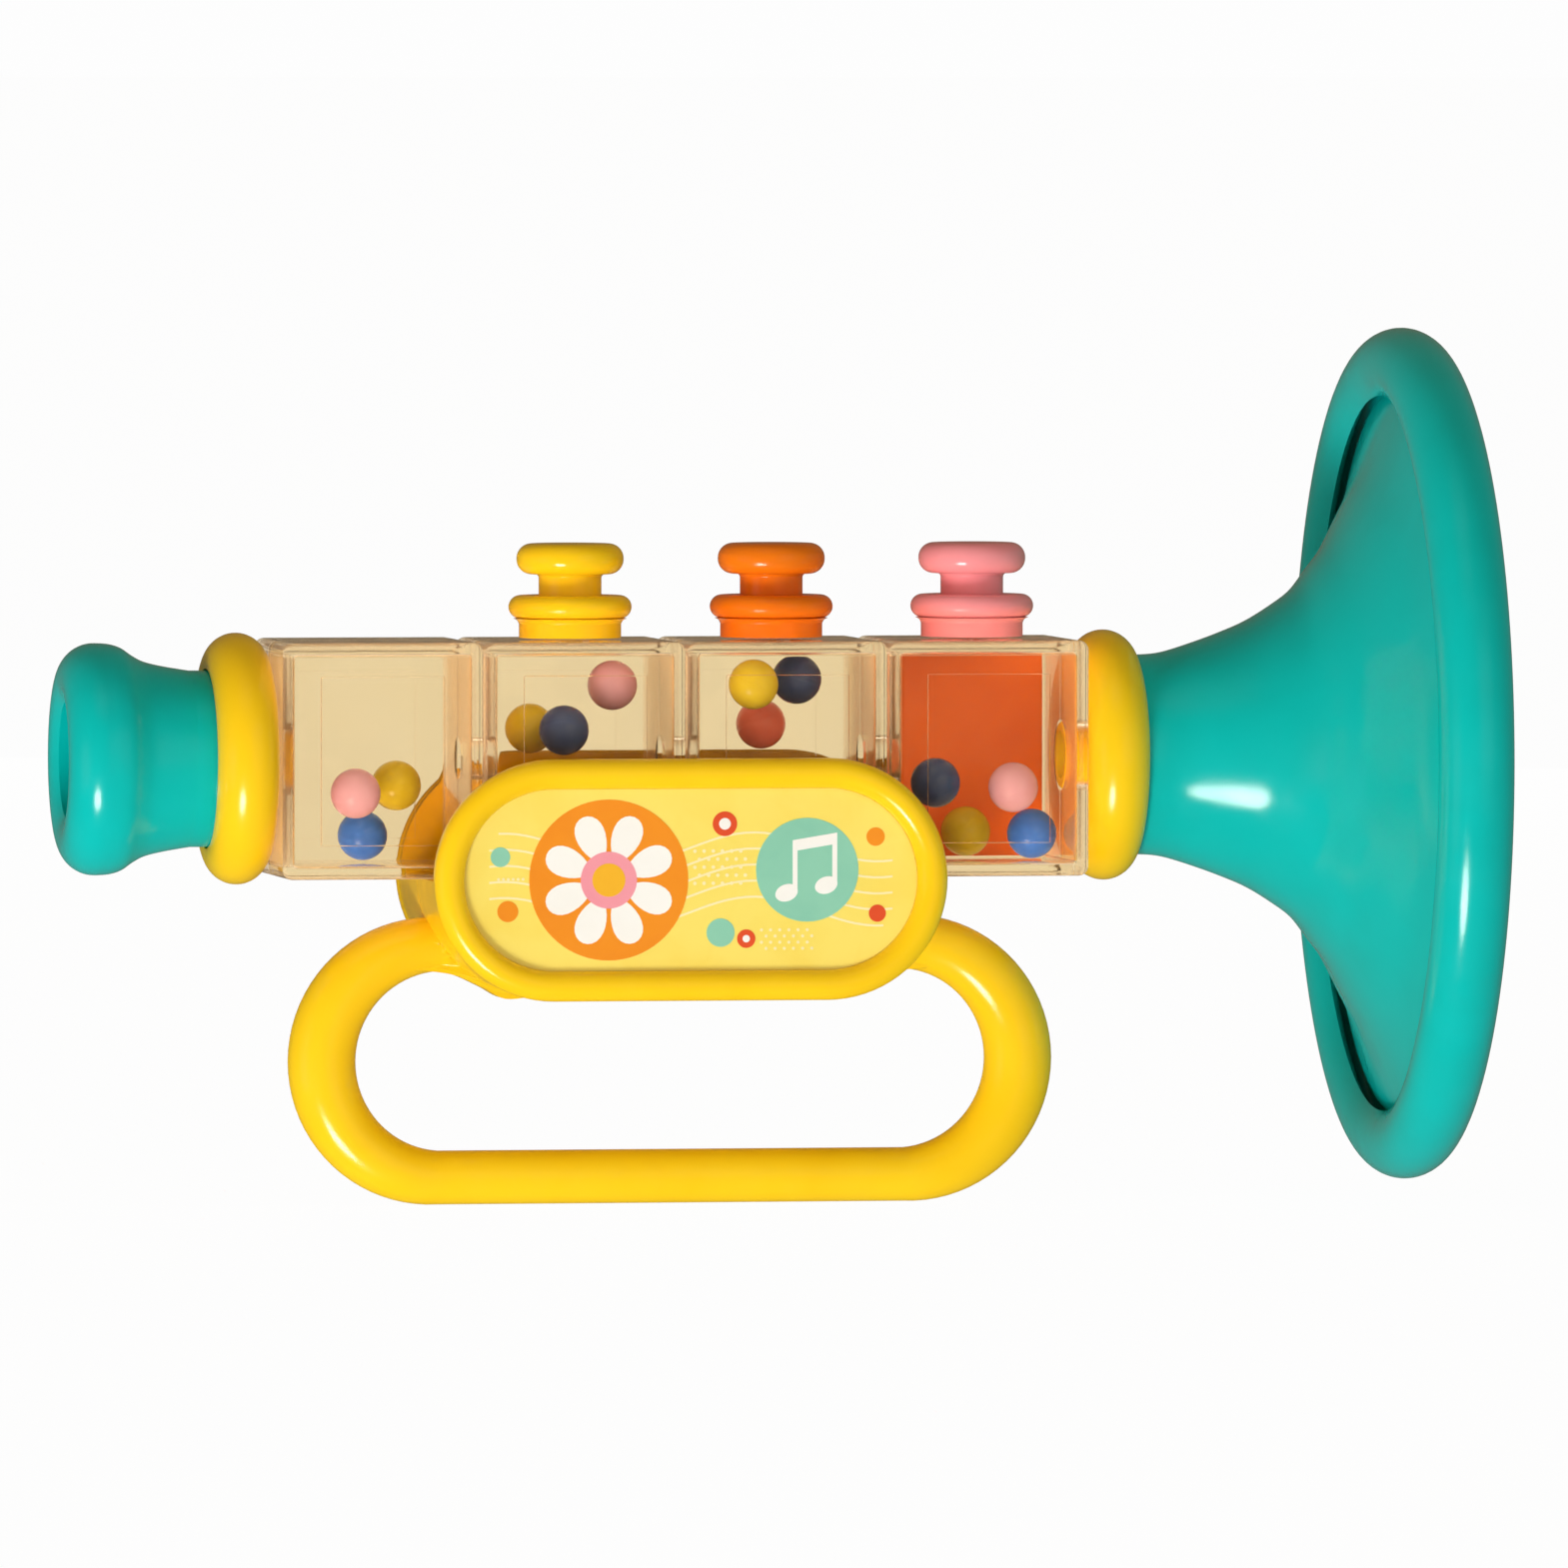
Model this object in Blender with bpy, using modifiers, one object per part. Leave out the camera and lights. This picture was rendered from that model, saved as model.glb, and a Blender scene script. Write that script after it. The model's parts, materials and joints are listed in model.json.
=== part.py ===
"""Toy trumpet with four rattle chambers, three sprung valves and a loop handle.

The trumpet lies along X, mouthpiece at -X and bell at +X, valves up (+Z), handle below.
The origin is the middle of the handle's lower bar, where a hand holds it.
Everything is in metres.
"""

import math

import bmesh
import bpy
from mathutils import Matrix, Vector

# Gaps and cuts
PLAY = 0.0003
OVERRUN = 0.0040
BITE = 0.0006
WELD_DISTANCE = 0.000002

# Row of clear rattle chambers
CHAMBER_COUNT = 4
CHAMBER_PITCH = 0.0331
CHAMBER_HEIGHT = 0.0382
CHAMBER_DEPTH = 0.0360
CHAMBER_WALL = 0.0018
CHAMBER_EDGE = 0.0016
AIR_HOLE_RADIUS = 0.0035
BACKING_THICK = 0.0012

# Beads
BEAD_RADIUS = 0.00405

# Collars at the two ends of the row
COLLAR_MIDDLE_RADIUS = 0.0154
COLLAR_TUBE_RADIUS = 0.0050
SPIGOT_RADIUS = 0.0055
COLLAR_BORE_RADIUS = 0.0039

# Mouthpiece
MOUTHPIECE_NECK_RADIUS = 0.0143
MOUTHPIECE_LENGTH = 0.0342
MOUTHPIECE_WALL = 0.0022
LIP_MIDDLE_RADIUS = 0.0131
LIP_ROUND = 0.0057
THROAT_RADIUS = 0.0095
THROAT_LENGTH = 0.0035
LIP_SHOULDER_LENGTH = 0.0155

# Reed unit inside the mouthpiece
REED_BLOCK_LENGTH = 0.0050
REED_SLOT_WIDTH = 0.0036
REED_SLOT_HEIGHT = 0.0130
REED_TONGUE_WIDTH = 0.0056
REED_TONGUE_HEIGHT = 0.0170
REED_TONGUE_THICK = 0.0006

# Bell
BELL_NECK_RADIUS = 0.0163
BELL_WALL = 0.0022
BELL_LENGTH = 0.0610
RIM_MIDDLE_RADIUS = 0.0634
RIM_TUBE_RADIUS = 0.0061
RIM_LAND_DEPTH = 0.00025
RIM_CURL_END = math.radians(325)
RIM_CURL_START = math.radians(14)

# Valves
VALVE_CAP_RADIUS = 0.0087
VALVE_CAP_THICK = 0.0050
VALVE_CAP_ROUND = 0.0022
VALVE_STEM_RADIUS = 0.0051
VALVE_STEM_BORE_RADIUS = 0.00375
VALVE_TRAVEL = 0.0030
VALVE_LANDING_GAP = 0.0004
VALVE_LIP_RADIUS = 0.0061
VALVE_LIP_THICK = 0.0012
GUIDE_BASE_RADIUS = 0.0083
GUIDE_FLANGE_RADIUS = 0.0100
GUIDE_BASE_HEIGHT = 0.0031
GUIDE_FLANGE_THICK = 0.0038
GUIDE_CAVITY_RADIUS = 0.0066
GUIDE_TOP_WALL = 0.0018
VALVE_CAP_TOP_WALL = 0.0026

# Valve springs
SPRING_RADIUS = 0.0029
SPRING_WIRE_RADIUS = 0.0003
SPRING_TURNS = 5
SPRING_TURN_POINTS = 8

# Handle loop: a hand's grip below the trumpet
LOOP_OVERHANG = 0.0153
LOOP_HEIGHT = 0.0379
LOOP_TUBE_RADIUS = 0.0044
LOOP_END_TUBE_RADIUS = 0.0055
AXIS_ABOVE_TOP_RUN = 0.0303
WEB_HALF_THICK = 0.0026

# Badge drum that clamps the chambers
BADGE_LENGTH = 0.0840
BADGE_HEIGHT = 0.0392
BADGE_BELOW_TOP_RUN = 0.0085
BADGE_PLATE = 0.0022
BADGE_RIM_RADIUS = 0.00245
BADGE_RIM_PROUD = 0.0008
DRUM_INSET = 0.0003
DRUM_WALL = 0.0022
DRUM_RIB = 0.0016
DRUM_RIBS = 3
RIB_TO_BODY_SCREW = 0.0070

# Badge label
LABEL_END_GAP = 0.0009
LABEL_SIDE_GAP = 0.0001
LABEL_THICK = 0.0004

# Screws that close the handle
BODY_SCREW_INSET = 0.0140
BODY_SCREW_RADIUS = 0.0012
BODY_SCREW_LENGTH = 0.0130
BODY_HEAD_RADIUS = 0.0024
BODY_HEAD_THICK = 0.0018
BODY_BOSS_RADIUS = 0.0038
BODY_SCREW_SEAT = 0.0040
LOOP_SCREW_RADIUS = 0.0010
LOOP_SCREW_LENGTH = 0.0060
LOOP_HEAD_RADIUS = 0.0019
LOOP_HEAD_THICK = 0.0013
LOOP_SCREW_SEAT = 0.0024
SCREW_CLEARANCE = 0.0003
CROSS_WIDTH = 0.0007
CROSS_DEPTH = 0.0007

# Facets around round pieces
BELL_STEPS = 36
TURNED_STEPS = 28
VALVE_STEPS = 16
SCREW_STEPS = 12
BEAD_STEPS = 10
BEAD_RINGS = 7
HOLE_STEPS = 20
ROUND_END_STEPS = 10
TUBE_SIDES = 10
SPRING_WIRE_SIDES = 6

# Places that follow from the sizes above
AXIS_Z = LOOP_HEIGHT + AXIS_ABOVE_TOP_RUN
ROW_HALF_LENGTH = CHAMBER_COUNT * CHAMBER_PITCH / 2
ROW_TOP_Z = AXIS_Z + CHAMBER_HEIGHT / 2
ROW_BOTTOM_Z = AXIS_Z - CHAMBER_HEIGHT / 2
CHEEK_INNER_Y = CHAMBER_DEPTH / 2 + PLAY
CHEEK_OUTER_Y = CHEEK_INNER_Y + BADGE_PLATE
BADGE_Z = LOOP_HEIGHT - BADGE_BELOW_TOP_RUN + BADGE_HEIGHT / 2
DRUM_SEAT_Z = ROW_BOTTOM_Z - PLAY
LOOP_END_Z = LOOP_HEIGHT / 2
LOOP_HALF_LENGTH = BADGE_LENGTH / 2 + LOOP_OVERHANG
LABEL_LENGTH = BADGE_LENGTH - 4 * BADGE_RIM_RADIUS - 2 * LABEL_END_GAP
LABEL_HEIGHT = BADGE_HEIGHT - 4 * BADGE_RIM_RADIUS - 2 * LABEL_SIDE_GAP
BODY_SCREW_X = BADGE_LENGTH / 2 - BODY_SCREW_INSET
DRUM_RIB_SPACING = 2 * (BODY_SCREW_X - RIB_TO_BODY_SCREW) / (DRUM_RIBS - 1)
GUIDE_BOTTOM_Z = ROW_TOP_Z + PLAY
GUIDE_TOP_Z = GUIDE_BOTTOM_Z + GUIDE_BASE_HEIGHT + GUIDE_FLANGE_THICK
VALVE_CAP_BOTTOM_Z = GUIDE_TOP_Z + VALVE_TRAVEL + VALVE_LANDING_GAP
VALVE_LIP_TOP_Z = GUIDE_TOP_Z - GUIDE_TOP_WALL - PLAY
BEAD_LIMIT = CHAMBER_HEIGHT / 2 - CHAMBER_WALL - BEAD_RADIUS - PLAY

# Colour, roughness and how much light passes, by material name
FINISHES = {
    "teal_plastic": ((0.012, 0.440, 0.360), 0.28, 0.0),
    "yellow_plastic": ((0.960, 0.560, 0.025), 0.30, 0.0),
    "orange_plastic": ((0.880, 0.190, 0.008), 0.30, 0.0),
    "pink_plastic": ((0.900, 0.280, 0.270), 0.30, 0.0),
    "clear_plastic": ((0.860, 0.720, 0.470), 0.08, 0.9),
    "orange_backing": ((0.760, 0.150, 0.020), 0.35, 0.0),
    "bead_pink": ((0.830, 0.220, 0.240), 0.25, 0.0),
    "bead_yellow": ((0.780, 0.400, 0.020), 0.25, 0.0),
    "bead_blue": ((0.050, 0.130, 0.420), 0.25, 0.0),
    "bead_navy": ((0.030, 0.040, 0.070), 0.25, 0.0),
    "bead_red": ((0.480, 0.060, 0.030), 0.25, 0.0),
    "label_film": ((0.950, 0.730, 0.160), 0.35, 0.0),
    "reed_plastic": ((0.900, 0.880, 0.820), 0.40, 0.0),
    "steel": ((0.560, 0.560, 0.550), 0.30, 0.0),
}
METALS = ("steel",)

# The three valves, from the mouthpiece to the bell: chamber number and colour
VALVES = ((2, "yellow_plastic"), (3, "orange_plastic"), (4, "pink_plastic"))

# Beads by chamber: colour, then the place as shares of the free half width, half depth
# and half height that a bead has inside its chamber
BEAD_SHARES = {
    1: (
        ("pink", -0.353, -0.870, -0.415),
        ("yellow", 0.441, 0.000, -0.346),
        ("blue", 0.049, 0.870, -1.000),
    ),
    2: (
        ("navy", -0.257, -0.870, 0.363),
        ("yellow", -0.650, 0.000, 0.363),
        ("pink", 0.640, -0.180, 0.904),
    ),
    3: (
        ("yellow", -0.453, -0.870, 0.927),
        ("navy", 0.406, 0.000, 0.965),
        ("red", -0.005, 0.870, 0.380),
    ),
    4: (
        ("navy", -0.762, -0.870, -0.315),
        ("pink", 0.490, -0.870, -0.377),
        ("blue", 0.968, 0.000, -0.989),
        ("yellow", 0.023, 0.620, -0.977),
    ),
}

# Outer line of the mouthpiece behind the lip: length and height shares
SHOULDER_SHARES = (
    (0.00, 1.00),
    (0.14, 0.97),
    (0.27, 0.84),
    (0.39, 0.56),
    (0.52, 0.33),
    (0.72, 0.16),
    (1.00, 0.00),
)

# Outer line of the bell: length and height shares from the neck to the rim's curl
FLARE_SHARES = (
    (0.00, 0.000),
    (0.11, 0.000),
    (0.19, 0.009),
    (0.29, 0.043),
    (0.39, 0.084),
    (0.48, 0.128),
    (0.57, 0.190),
    (0.64, 0.250),
    (0.70, 0.335),
    (0.76, 0.425),
    (0.83, 0.570),
    (0.885, 0.690),
    (0.93, 0.830),
    (0.975, 1.000),
)

# Lower line of the webs between the drum and the loop: length and height shares
WEB_SHARES = ((0.00, 0.05), (0.26, -0.08), (0.46, 0.39), (0.70, 0.88), (1.00, 1.08))


def clear_scene():
    """Removes what a new Blender file holds."""
    for item in list(bpy.data.objects):
        bpy.data.objects.remove(item, do_unlink=True)


def new_collection(name):
    """Makes a collection in the scene."""
    made = bpy.data.collections.new(name)
    bpy.context.scene.collection.children.link(made)
    return made


def finish(name):
    """Gives the named plastic or metal, made on its first use."""
    found = bpy.data.materials.get(name)
    if found:
        return found
    colour, roughness, passes = FINISHES[name]
    made = bpy.data.materials.new(name)
    made.use_nodes = True
    shader = made.node_tree.nodes["Principled BSDF"]
    shader.inputs["Base Color"].default_value = (*colour, 1.0)
    shader.inputs["Roughness"].default_value = roughness
    shader.inputs["Metallic"].default_value = 1.0 if name in METALS else 0.0
    shader.inputs["Transmission Weight"].default_value = passes
    made.diffuse_color = (*colour, 1.0)
    return made


def add_part(name, mesh, material, matrix=None):
    """Adds one of the trumpet's pieces."""
    made = bpy.data.objects.new(name, mesh)
    PARTS.objects.link(made)
    made.matrix_world = matrix or Matrix.Identity(4)
    mesh.materials.clear()
    mesh.materials.append(finish(material))
    return made


def as_cutter(made):
    """Turns an object into a hidden tool for cutting and joining."""
    for home in list(made.users_collection):
        home.objects.unlink(made)
    CUTTERS.objects.link(made)
    made.hide_render = True
    made.display_type = "WIRE"
    return made


def tool(name, mesh):
    """Adds a hidden solid for cutting and joining."""
    return as_cutter(bpy.data.objects.new(name, mesh))


def box_mesh(name, low, high):
    """A box between two corners."""
    mesh = bpy.data.meshes.new(name)
    bm = bmesh.new()
    bmesh.ops.create_cube(bm, size=1.0)
    low, high = Vector(low), Vector(high)
    size = high - low
    bmesh.ops.scale(bm, vec=size, verts=bm.verts)
    bmesh.ops.translate(bm, vec=(low + high) / 2, verts=bm.verts)
    bm.to_mesh(mesh)
    bm.free()
    return mesh


def rod_mesh(name, radius, start, end, steps):
    """A round rod between two points."""
    start, end = Vector(start), Vector(end)
    along = end - start
    turn = along.to_track_quat("Z", "Y").to_matrix().to_4x4()
    mesh = bpy.data.meshes.new(name)
    bm = bmesh.new()
    bmesh.ops.create_cone(
        bm,
        cap_ends=True,
        segments=steps,
        radius1=radius,
        radius2=radius,
        depth=along.length,
        matrix=Matrix.Translation((start + end) / 2) @ turn,
    )
    bm.to_mesh(mesh)
    bm.free()
    return mesh


def profile_mesh(name, points, closed):
    """A line of (radius, height) points to turn about Z: closed, or ending on the axis twice."""
    mesh = bpy.data.meshes.new(name)
    bm = bmesh.new()
    corners = [bm.verts.new((radius, 0, height)) for radius, height in points]
    following = corners[1:] + corners[:1] if closed else corners[1:]
    for first, second in zip(corners, following):
        bm.edges.new((first, second))
    bm.to_mesh(mesh)
    bm.free()
    return mesh


def turned_part(name, points, steps, material, matrix, closed=True):
    """Adds a piece turned about its own Z from its half section."""
    made = add_part(name, profile_mesh(name, points, closed), material, matrix)
    screw = made.modifiers.new("turned", "SCREW")
    screw.angle = 2 * math.pi
    screw.steps = steps
    screw.render_steps = steps
    screw.use_merge_vertices = True
    screw.merge_threshold = WELD_DISTANCE
    screw.use_smooth_shade = True
    return made


def boolean(made, other, operation):
    """Cuts a solid by another one, joins them, or keeps what they share."""
    step = made.modifiers.new(f"{operation.lower()}_{other.name}", "BOOLEAN")
    step.operation = operation
    step.solver = "EXACT"
    step.object = other


def round_edges(made, width, segments):
    """Rounds a solid's sharp edges."""
    bevel = made.modifiers.new("rounded", "BEVEL")
    bevel.width = width
    bevel.segments = segments
    bevel.limit_method = "ANGLE"


def curve_to_mesh(made):
    """Replaces a curve with its welded mesh, as a hidden tool."""
    bpy.context.view_layer.update()
    seen = made.evaluated_get(bpy.context.evaluated_depsgraph_get())
    mesh = bpy.data.meshes.new_from_object(seen)
    bm = bmesh.new()
    bm.from_mesh(mesh)
    bmesh.ops.remove_doubles(bm, verts=bm.verts, dist=WELD_DISTANCE)
    bmesh.ops.recalc_face_normals(bm, faces=bm.faces)
    bm.to_mesh(mesh)
    bm.free()
    name = made.name
    place = made.matrix_world.copy()
    bpy.data.objects.remove(made, do_unlink=True)
    replacement = tool(name, mesh)
    replacement.matrix_world = place
    return replacement


def flat_outline(name, points, low_y, high_y):
    """A flat outline of (x, z) points, given its thickness along Y."""
    curve = bpy.data.curves.new(name, "CURVE")
    curve.dimensions = "2D"
    curve.fill_mode = "BOTH"
    curve.extrude = (high_y - low_y) / 2
    line = curve.splines.new("POLY")
    line.points.add(len(points) - 1)
    for corner, (x, z) in zip(line.points, points):
        corner.co = (x, z, 0, 1)
    line.use_cyclic_u = True
    made = bpy.data.objects.new(name, curve)
    CUTTERS.objects.link(made)
    made.location = (0, (low_y + high_y) / 2, 0)
    made.rotation_euler = (math.radians(90), 0, 0)
    return curve_to_mesh(made)


def tube(name, points, radii, sides, closed):
    """A round tube along points, each with its own radius."""
    curve = bpy.data.curves.new(name, "CURVE")
    curve.dimensions = "3D"
    curve.bevel_depth = 1.0
    curve.bevel_resolution = (sides - 4) // 2
    curve.use_fill_caps = not closed
    line = curve.splines.new("POLY")
    line.points.add(len(points) - 1)
    for corner, place, radius in zip(line.points, points, radii):
        corner.co = (*place, 1)
        corner.radius = radius
    line.use_cyclic_u = closed
    made = bpy.data.objects.new(name, curve)
    CUTTERS.objects.link(made)
    return curve_to_mesh(made)


def box_tool(name, low, high):
    """Adds a hidden box between two corners."""
    return tool(name, box_mesh(name, low, high))


def rod_tool(name, radius, start, end, steps):
    """Adds a hidden round rod between two points."""
    return tool(name, rod_mesh(name, radius, start, end, steps))


def show_tool(made, material):
    """Turns a finished tool into one of the trumpet's pieces."""
    for home in list(made.users_collection):
        home.objects.unlink(made)
    PARTS.objects.link(made)
    made.hide_render = False
    made.display_type = "TEXTURED"
    made.data.materials.clear()
    made.data.materials.append(finish(material))
    return made


def arc(middle, radius, start, end, count):
    """Points along an arc about middle, from one angle to another, both included."""
    angles = [start + (end - start) * step / count for step in range(count + 1)]
    return [(middle[0] + radius * math.cos(a), middle[1] + radius * math.sin(a)) for a in angles]


def stadium(half_length, radius, middle_z, count):
    """A long outline with two round ends, as (x, z) points."""
    reach = half_length - radius
    quarter = math.pi / 2
    right = arc((reach, middle_z), radius, -quarter, quarter, count)
    left = arc((-reach, middle_z), radius, quarter, 3 * quarter, count)
    return right + left


def eased(a, b, c, d, t):
    """The value a share t of the way from b to c, on a smooth line through a, b, c and d."""
    slope = c - a
    bend = 2 * a - 5 * b + 4 * c - d
    turn = 3 * b - a - 3 * c + d
    return (2 * b + slope * t + bend * t**2 + turn * t**3) / 2


def smooth_line(points, splits):
    """A smooth line through all the points, with extra points between them."""
    line = []
    last = len(points) - 1
    for index in range(last):
        before = points[max(index - 1, 0)]
        start = points[index]
        end = points[index + 1]
        after = points[min(index + 2, last)]
        for step in range(splits):
            share = step / splits
            line.append(tuple(eased(*four, share) for four in zip(before, start, end, after)))
    return line + [points[last]]


def inward(points, depth):
    """The same line moved sideways by a wall's thickness, towards the turning axis."""
    moved = []
    last = len(points) - 1
    for index, (radius, height) in enumerate(points):
        before = Vector(points[max(index - 1, 0)])
        after = Vector(points[min(index + 1, last)])
        along = (after - before).normalized()
        moved.append((radius - along.y * depth, height + along.x * depth))
    return moved


def facing(x, direction):
    """Places a turned piece on the trumpet's axis at x, its own Z along +X or -X."""
    turn = Matrix.Rotation(math.radians(90) * direction, 4, "Y")
    return Matrix.Translation((x, 0, AXIS_Z)) @ turn


def chamber_middle(number):
    """X of a chamber's middle plane, chambers counted from the mouthpiece."""
    return (number - (CHAMBER_COUNT + 1) / 2) * CHAMBER_PITCH


def make_chamber_half(number, side, name):
    """Half of one clear rattle chamber, split on the trumpet's middle plane."""
    middle = chamber_middle(number)
    half = CHAMBER_PITCH / 2 - PLAY / 2
    inner = half - CHAMBER_WALL
    low = (middle - half, -CHAMBER_DEPTH / 2, ROW_BOTTOM_Z)
    high = (middle + half, CHAMBER_DEPTH / 2, ROW_TOP_Z)
    made = add_part(name, box_mesh(name, low, high), "clear_plastic")
    round_edges(made, CHAMBER_EDGE, 2)
    space = box_tool(
        f"{name}_space",
        (middle - inner, -CHAMBER_DEPTH / 2 + CHAMBER_WALL, ROW_BOTTOM_Z + CHAMBER_WALL),
        (middle + inner, CHAMBER_DEPTH / 2 - CHAMBER_WALL, ROW_TOP_Z - CHAMBER_WALL),
    )
    boolean(made, space, "DIFFERENCE")
    reach = CHAMBER_PITCH + OVERRUN
    near, far = sorted((side * PLAY / 2, side * CHAMBER_DEPTH))
    kept_half = box_tool(
        f"{name}_kept_half",
        (middle - reach, near, ROW_BOTTOM_Z - OVERRUN),
        (middle + reach, far, ROW_TOP_Z + OVERRUN),
    )
    boolean(made, kept_half, "INTERSECT")
    for end, row_end in ((-1, number == 1), (1, number == CHAMBER_COUNT)):
        radius = SPIGOT_RADIUS + PLAY if row_end else AIR_HOLE_RADIUS
        wall = middle + end * half
        hole_ends = ((wall - OVERRUN, 0, AXIS_Z), (wall + OVERRUN, 0, AXIS_Z))
        hole = rod_tool(f"{name}_hole_{end}", radius, *hole_ends, HOLE_STEPS)
        boolean(made, hole, "DIFFERENCE")
    return made


def make_backing():
    """The orange sheet against the rear wall of the chamber next to the bell."""
    middle = chamber_middle(CHAMBER_COUNT)
    half = CHAMBER_PITCH / 2 - PLAY / 2 - CHAMBER_WALL - PLAY
    back = CHAMBER_DEPTH / 2 - CHAMBER_WALL - PLAY
    name = "chamber_4_backing"
    low = (middle - half, back - BACKING_THICK, ROW_BOTTOM_Z + CHAMBER_WALL + PLAY)
    high = (middle + half, back, ROW_TOP_Z - CHAMBER_WALL - PLAY)
    return add_part(name, box_mesh(name, low, high), "orange_backing")


def make_beads():
    """Every rattle bead, in its own column so that no two share a path."""
    free_x = CHAMBER_PITCH / 2 - PLAY / 2 - CHAMBER_WALL - BEAD_RADIUS - PLAY
    free_y = CHAMBER_DEPTH / 2 - CHAMBER_WALL - BEAD_RADIUS - PLAY
    for number, beads in BEAD_SHARES.items():
        for colour, x_share, y_share, z_share in beads:
            name = f"bead_{number}_{colour}"
            mesh = bpy.data.meshes.new(name)
            bm = bmesh.new()
            bmesh.ops.create_uvsphere(bm, u_segments=BEAD_STEPS, v_segments=BEAD_RINGS, radius=BEAD_RADIUS)
            bm.to_mesh(mesh)
            bm.free()
            mesh.shade_smooth()
            place = (
                chamber_middle(number) + x_share * free_x,
                y_share * free_y,
                AXIS_Z + z_share * BEAD_LIMIT,
            )
            add_part(name, mesh, f"bead_{colour}", Matrix.Translation(place))


def make_collar(name, neck_radius, direction):
    """A yellow ring that joins a turned end piece to the row of chambers."""
    face = PLAY
    middle = (COLLAR_MIDDLE_RADIUS, face + COLLAR_TUBE_RADIUS)
    socket = neck_radius + PLAY
    start = math.acos((socket - COLLAR_MIDDLE_RADIUS) / COLLAR_TUBE_RADIUS)
    ring = arc(middle, COLLAR_TUBE_RADIUS, start, math.radians(-90), 8)
    points = ring + [
        (SPIGOT_RADIUS, face),
        (SPIGOT_RADIUS, -CHAMBER_WALL),
        (COLLAR_BORE_RADIUS, -CHAMBER_WALL),
        (COLLAR_BORE_RADIUS, middle[1]),
        (socket, middle[1]),
    ]
    end = direction * (ROW_HALF_LENGTH - PLAY / 2)
    return turned_part(name, points, TURNED_STEPS, "yellow_plastic", facing(end, direction))


def make_mouthpiece():
    """The teal mouthpiece, a hollow neck with a thick rolled lip."""
    tail = COLLAR_TUBE_RADIUS + 2 * PLAY
    lip = (LIP_MIDDLE_RADIUS, MOUTHPIECE_LENGTH - LIP_ROUND)
    lip_outer = LIP_MIDDLE_RADIUS + LIP_ROUND
    rise = lip_outer - MOUTHPIECE_NECK_RADIUS
    throat = math.acos((THROAT_RADIUS - LIP_MIDDLE_RADIUS) / LIP_ROUND)
    roll = arc(lip, LIP_ROUND, throat, 0, 7)
    shoulder = [
        (MOUTHPIECE_NECK_RADIUS + rise * height, lip[1] - LIP_SHOULDER_LENGTH * length)
        for length, height in SHOULDER_SHARES
    ]
    bore = MOUTHPIECE_NECK_RADIUS - MOUTHPIECE_WALL
    points = roll + shoulder[1:]
    points += [
        (MOUTHPIECE_NECK_RADIUS, tail),
        (bore, tail),
        (bore, lip[1] - THROAT_LENGTH),
        (THROAT_RADIUS, lip[1]),
    ]
    place = facing(-ROW_HALF_LENGTH + PLAY / 2, -1)
    return turned_part("mouthpiece", points, TURNED_STEPS, "teal_plastic", place)


def make_reed():
    """The reed block inside the mouthpiece's neck and the tongue that sounds on it."""
    neck = MOUTHPIECE_NECK_RADIUS - MOUTHPIECE_WALL - PLAY
    near = -ROW_HALF_LENGTH - COLLAR_TUBE_RADIUS - 2 * PLAY
    far = near - REED_BLOCK_LENGTH
    block = add_part(
        "reed_block",
        rod_mesh("reed_block", neck, (near, 0, AXIS_Z), (far, 0, AXIS_Z), HOLE_STEPS),
        "reed_plastic",
    )
    slot = box_tool(
        "reed_slot",
        (far - OVERRUN, -REED_SLOT_WIDTH / 2, AXIS_Z - REED_SLOT_HEIGHT / 2),
        (near + OVERRUN, REED_SLOT_WIDTH / 2, AXIS_Z + REED_SLOT_HEIGHT / 2),
    )
    boolean(block, slot, "DIFFERENCE")
    face = far - PLAY
    tongue = box_mesh(
        "reed_tongue",
        (face - REED_TONGUE_THICK, -REED_TONGUE_WIDTH / 2, AXIS_Z - REED_TONGUE_HEIGHT / 2),
        (face, REED_TONGUE_WIDTH / 2, AXIS_Z + REED_TONGUE_HEIGHT / 2),
    )
    add_part("reed_tongue", tongue, "steel")


def make_bell():
    """The teal bell, a thin flare whose rim rolls back into an open curl."""
    tail = COLLAR_TUBE_RADIUS + 2 * PLAY
    rim = (RIM_MIDDLE_RADIUS, BELL_LENGTH - RIM_TUBE_RADIUS)
    inner_curl = RIM_TUBE_RADIUS - BELL_WALL
    meeting = RIM_MIDDLE_RADIUS - inner_curl * math.cos(RIM_CURL_START)
    flare_length = rim[1] - tail
    outer = [
        (BELL_NECK_RADIUS + (meeting - BELL_NECK_RADIUS) * height, tail + flare_length * length)
        for length, height in FLARE_SHARES
    ]
    inner = inward(outer, BELL_WALL)[:-1]
    turn = math.pi
    curl_in = arc(rim, inner_curl, turn - RIM_CURL_START, turn - RIM_CURL_END, 7)
    crest = math.pi / 2
    land = math.acos(1 - RIM_LAND_DEPTH / RIM_TUBE_RADIUS)
    curl_out = arc(rim, RIM_TUBE_RADIUS, turn - RIM_CURL_END, crest - land, 9)
    curl_out += arc(rim, RIM_TUBE_RADIUS, crest + land, turn - RIM_CURL_START, 3)
    points = outer[:-1] + curl_in + curl_out + inner[::-1]
    place = facing(ROW_HALF_LENGTH - PLAY / 2, 1)
    return turned_part("bell", points[::-1], BELL_STEPS, "teal_plastic", place)


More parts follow.
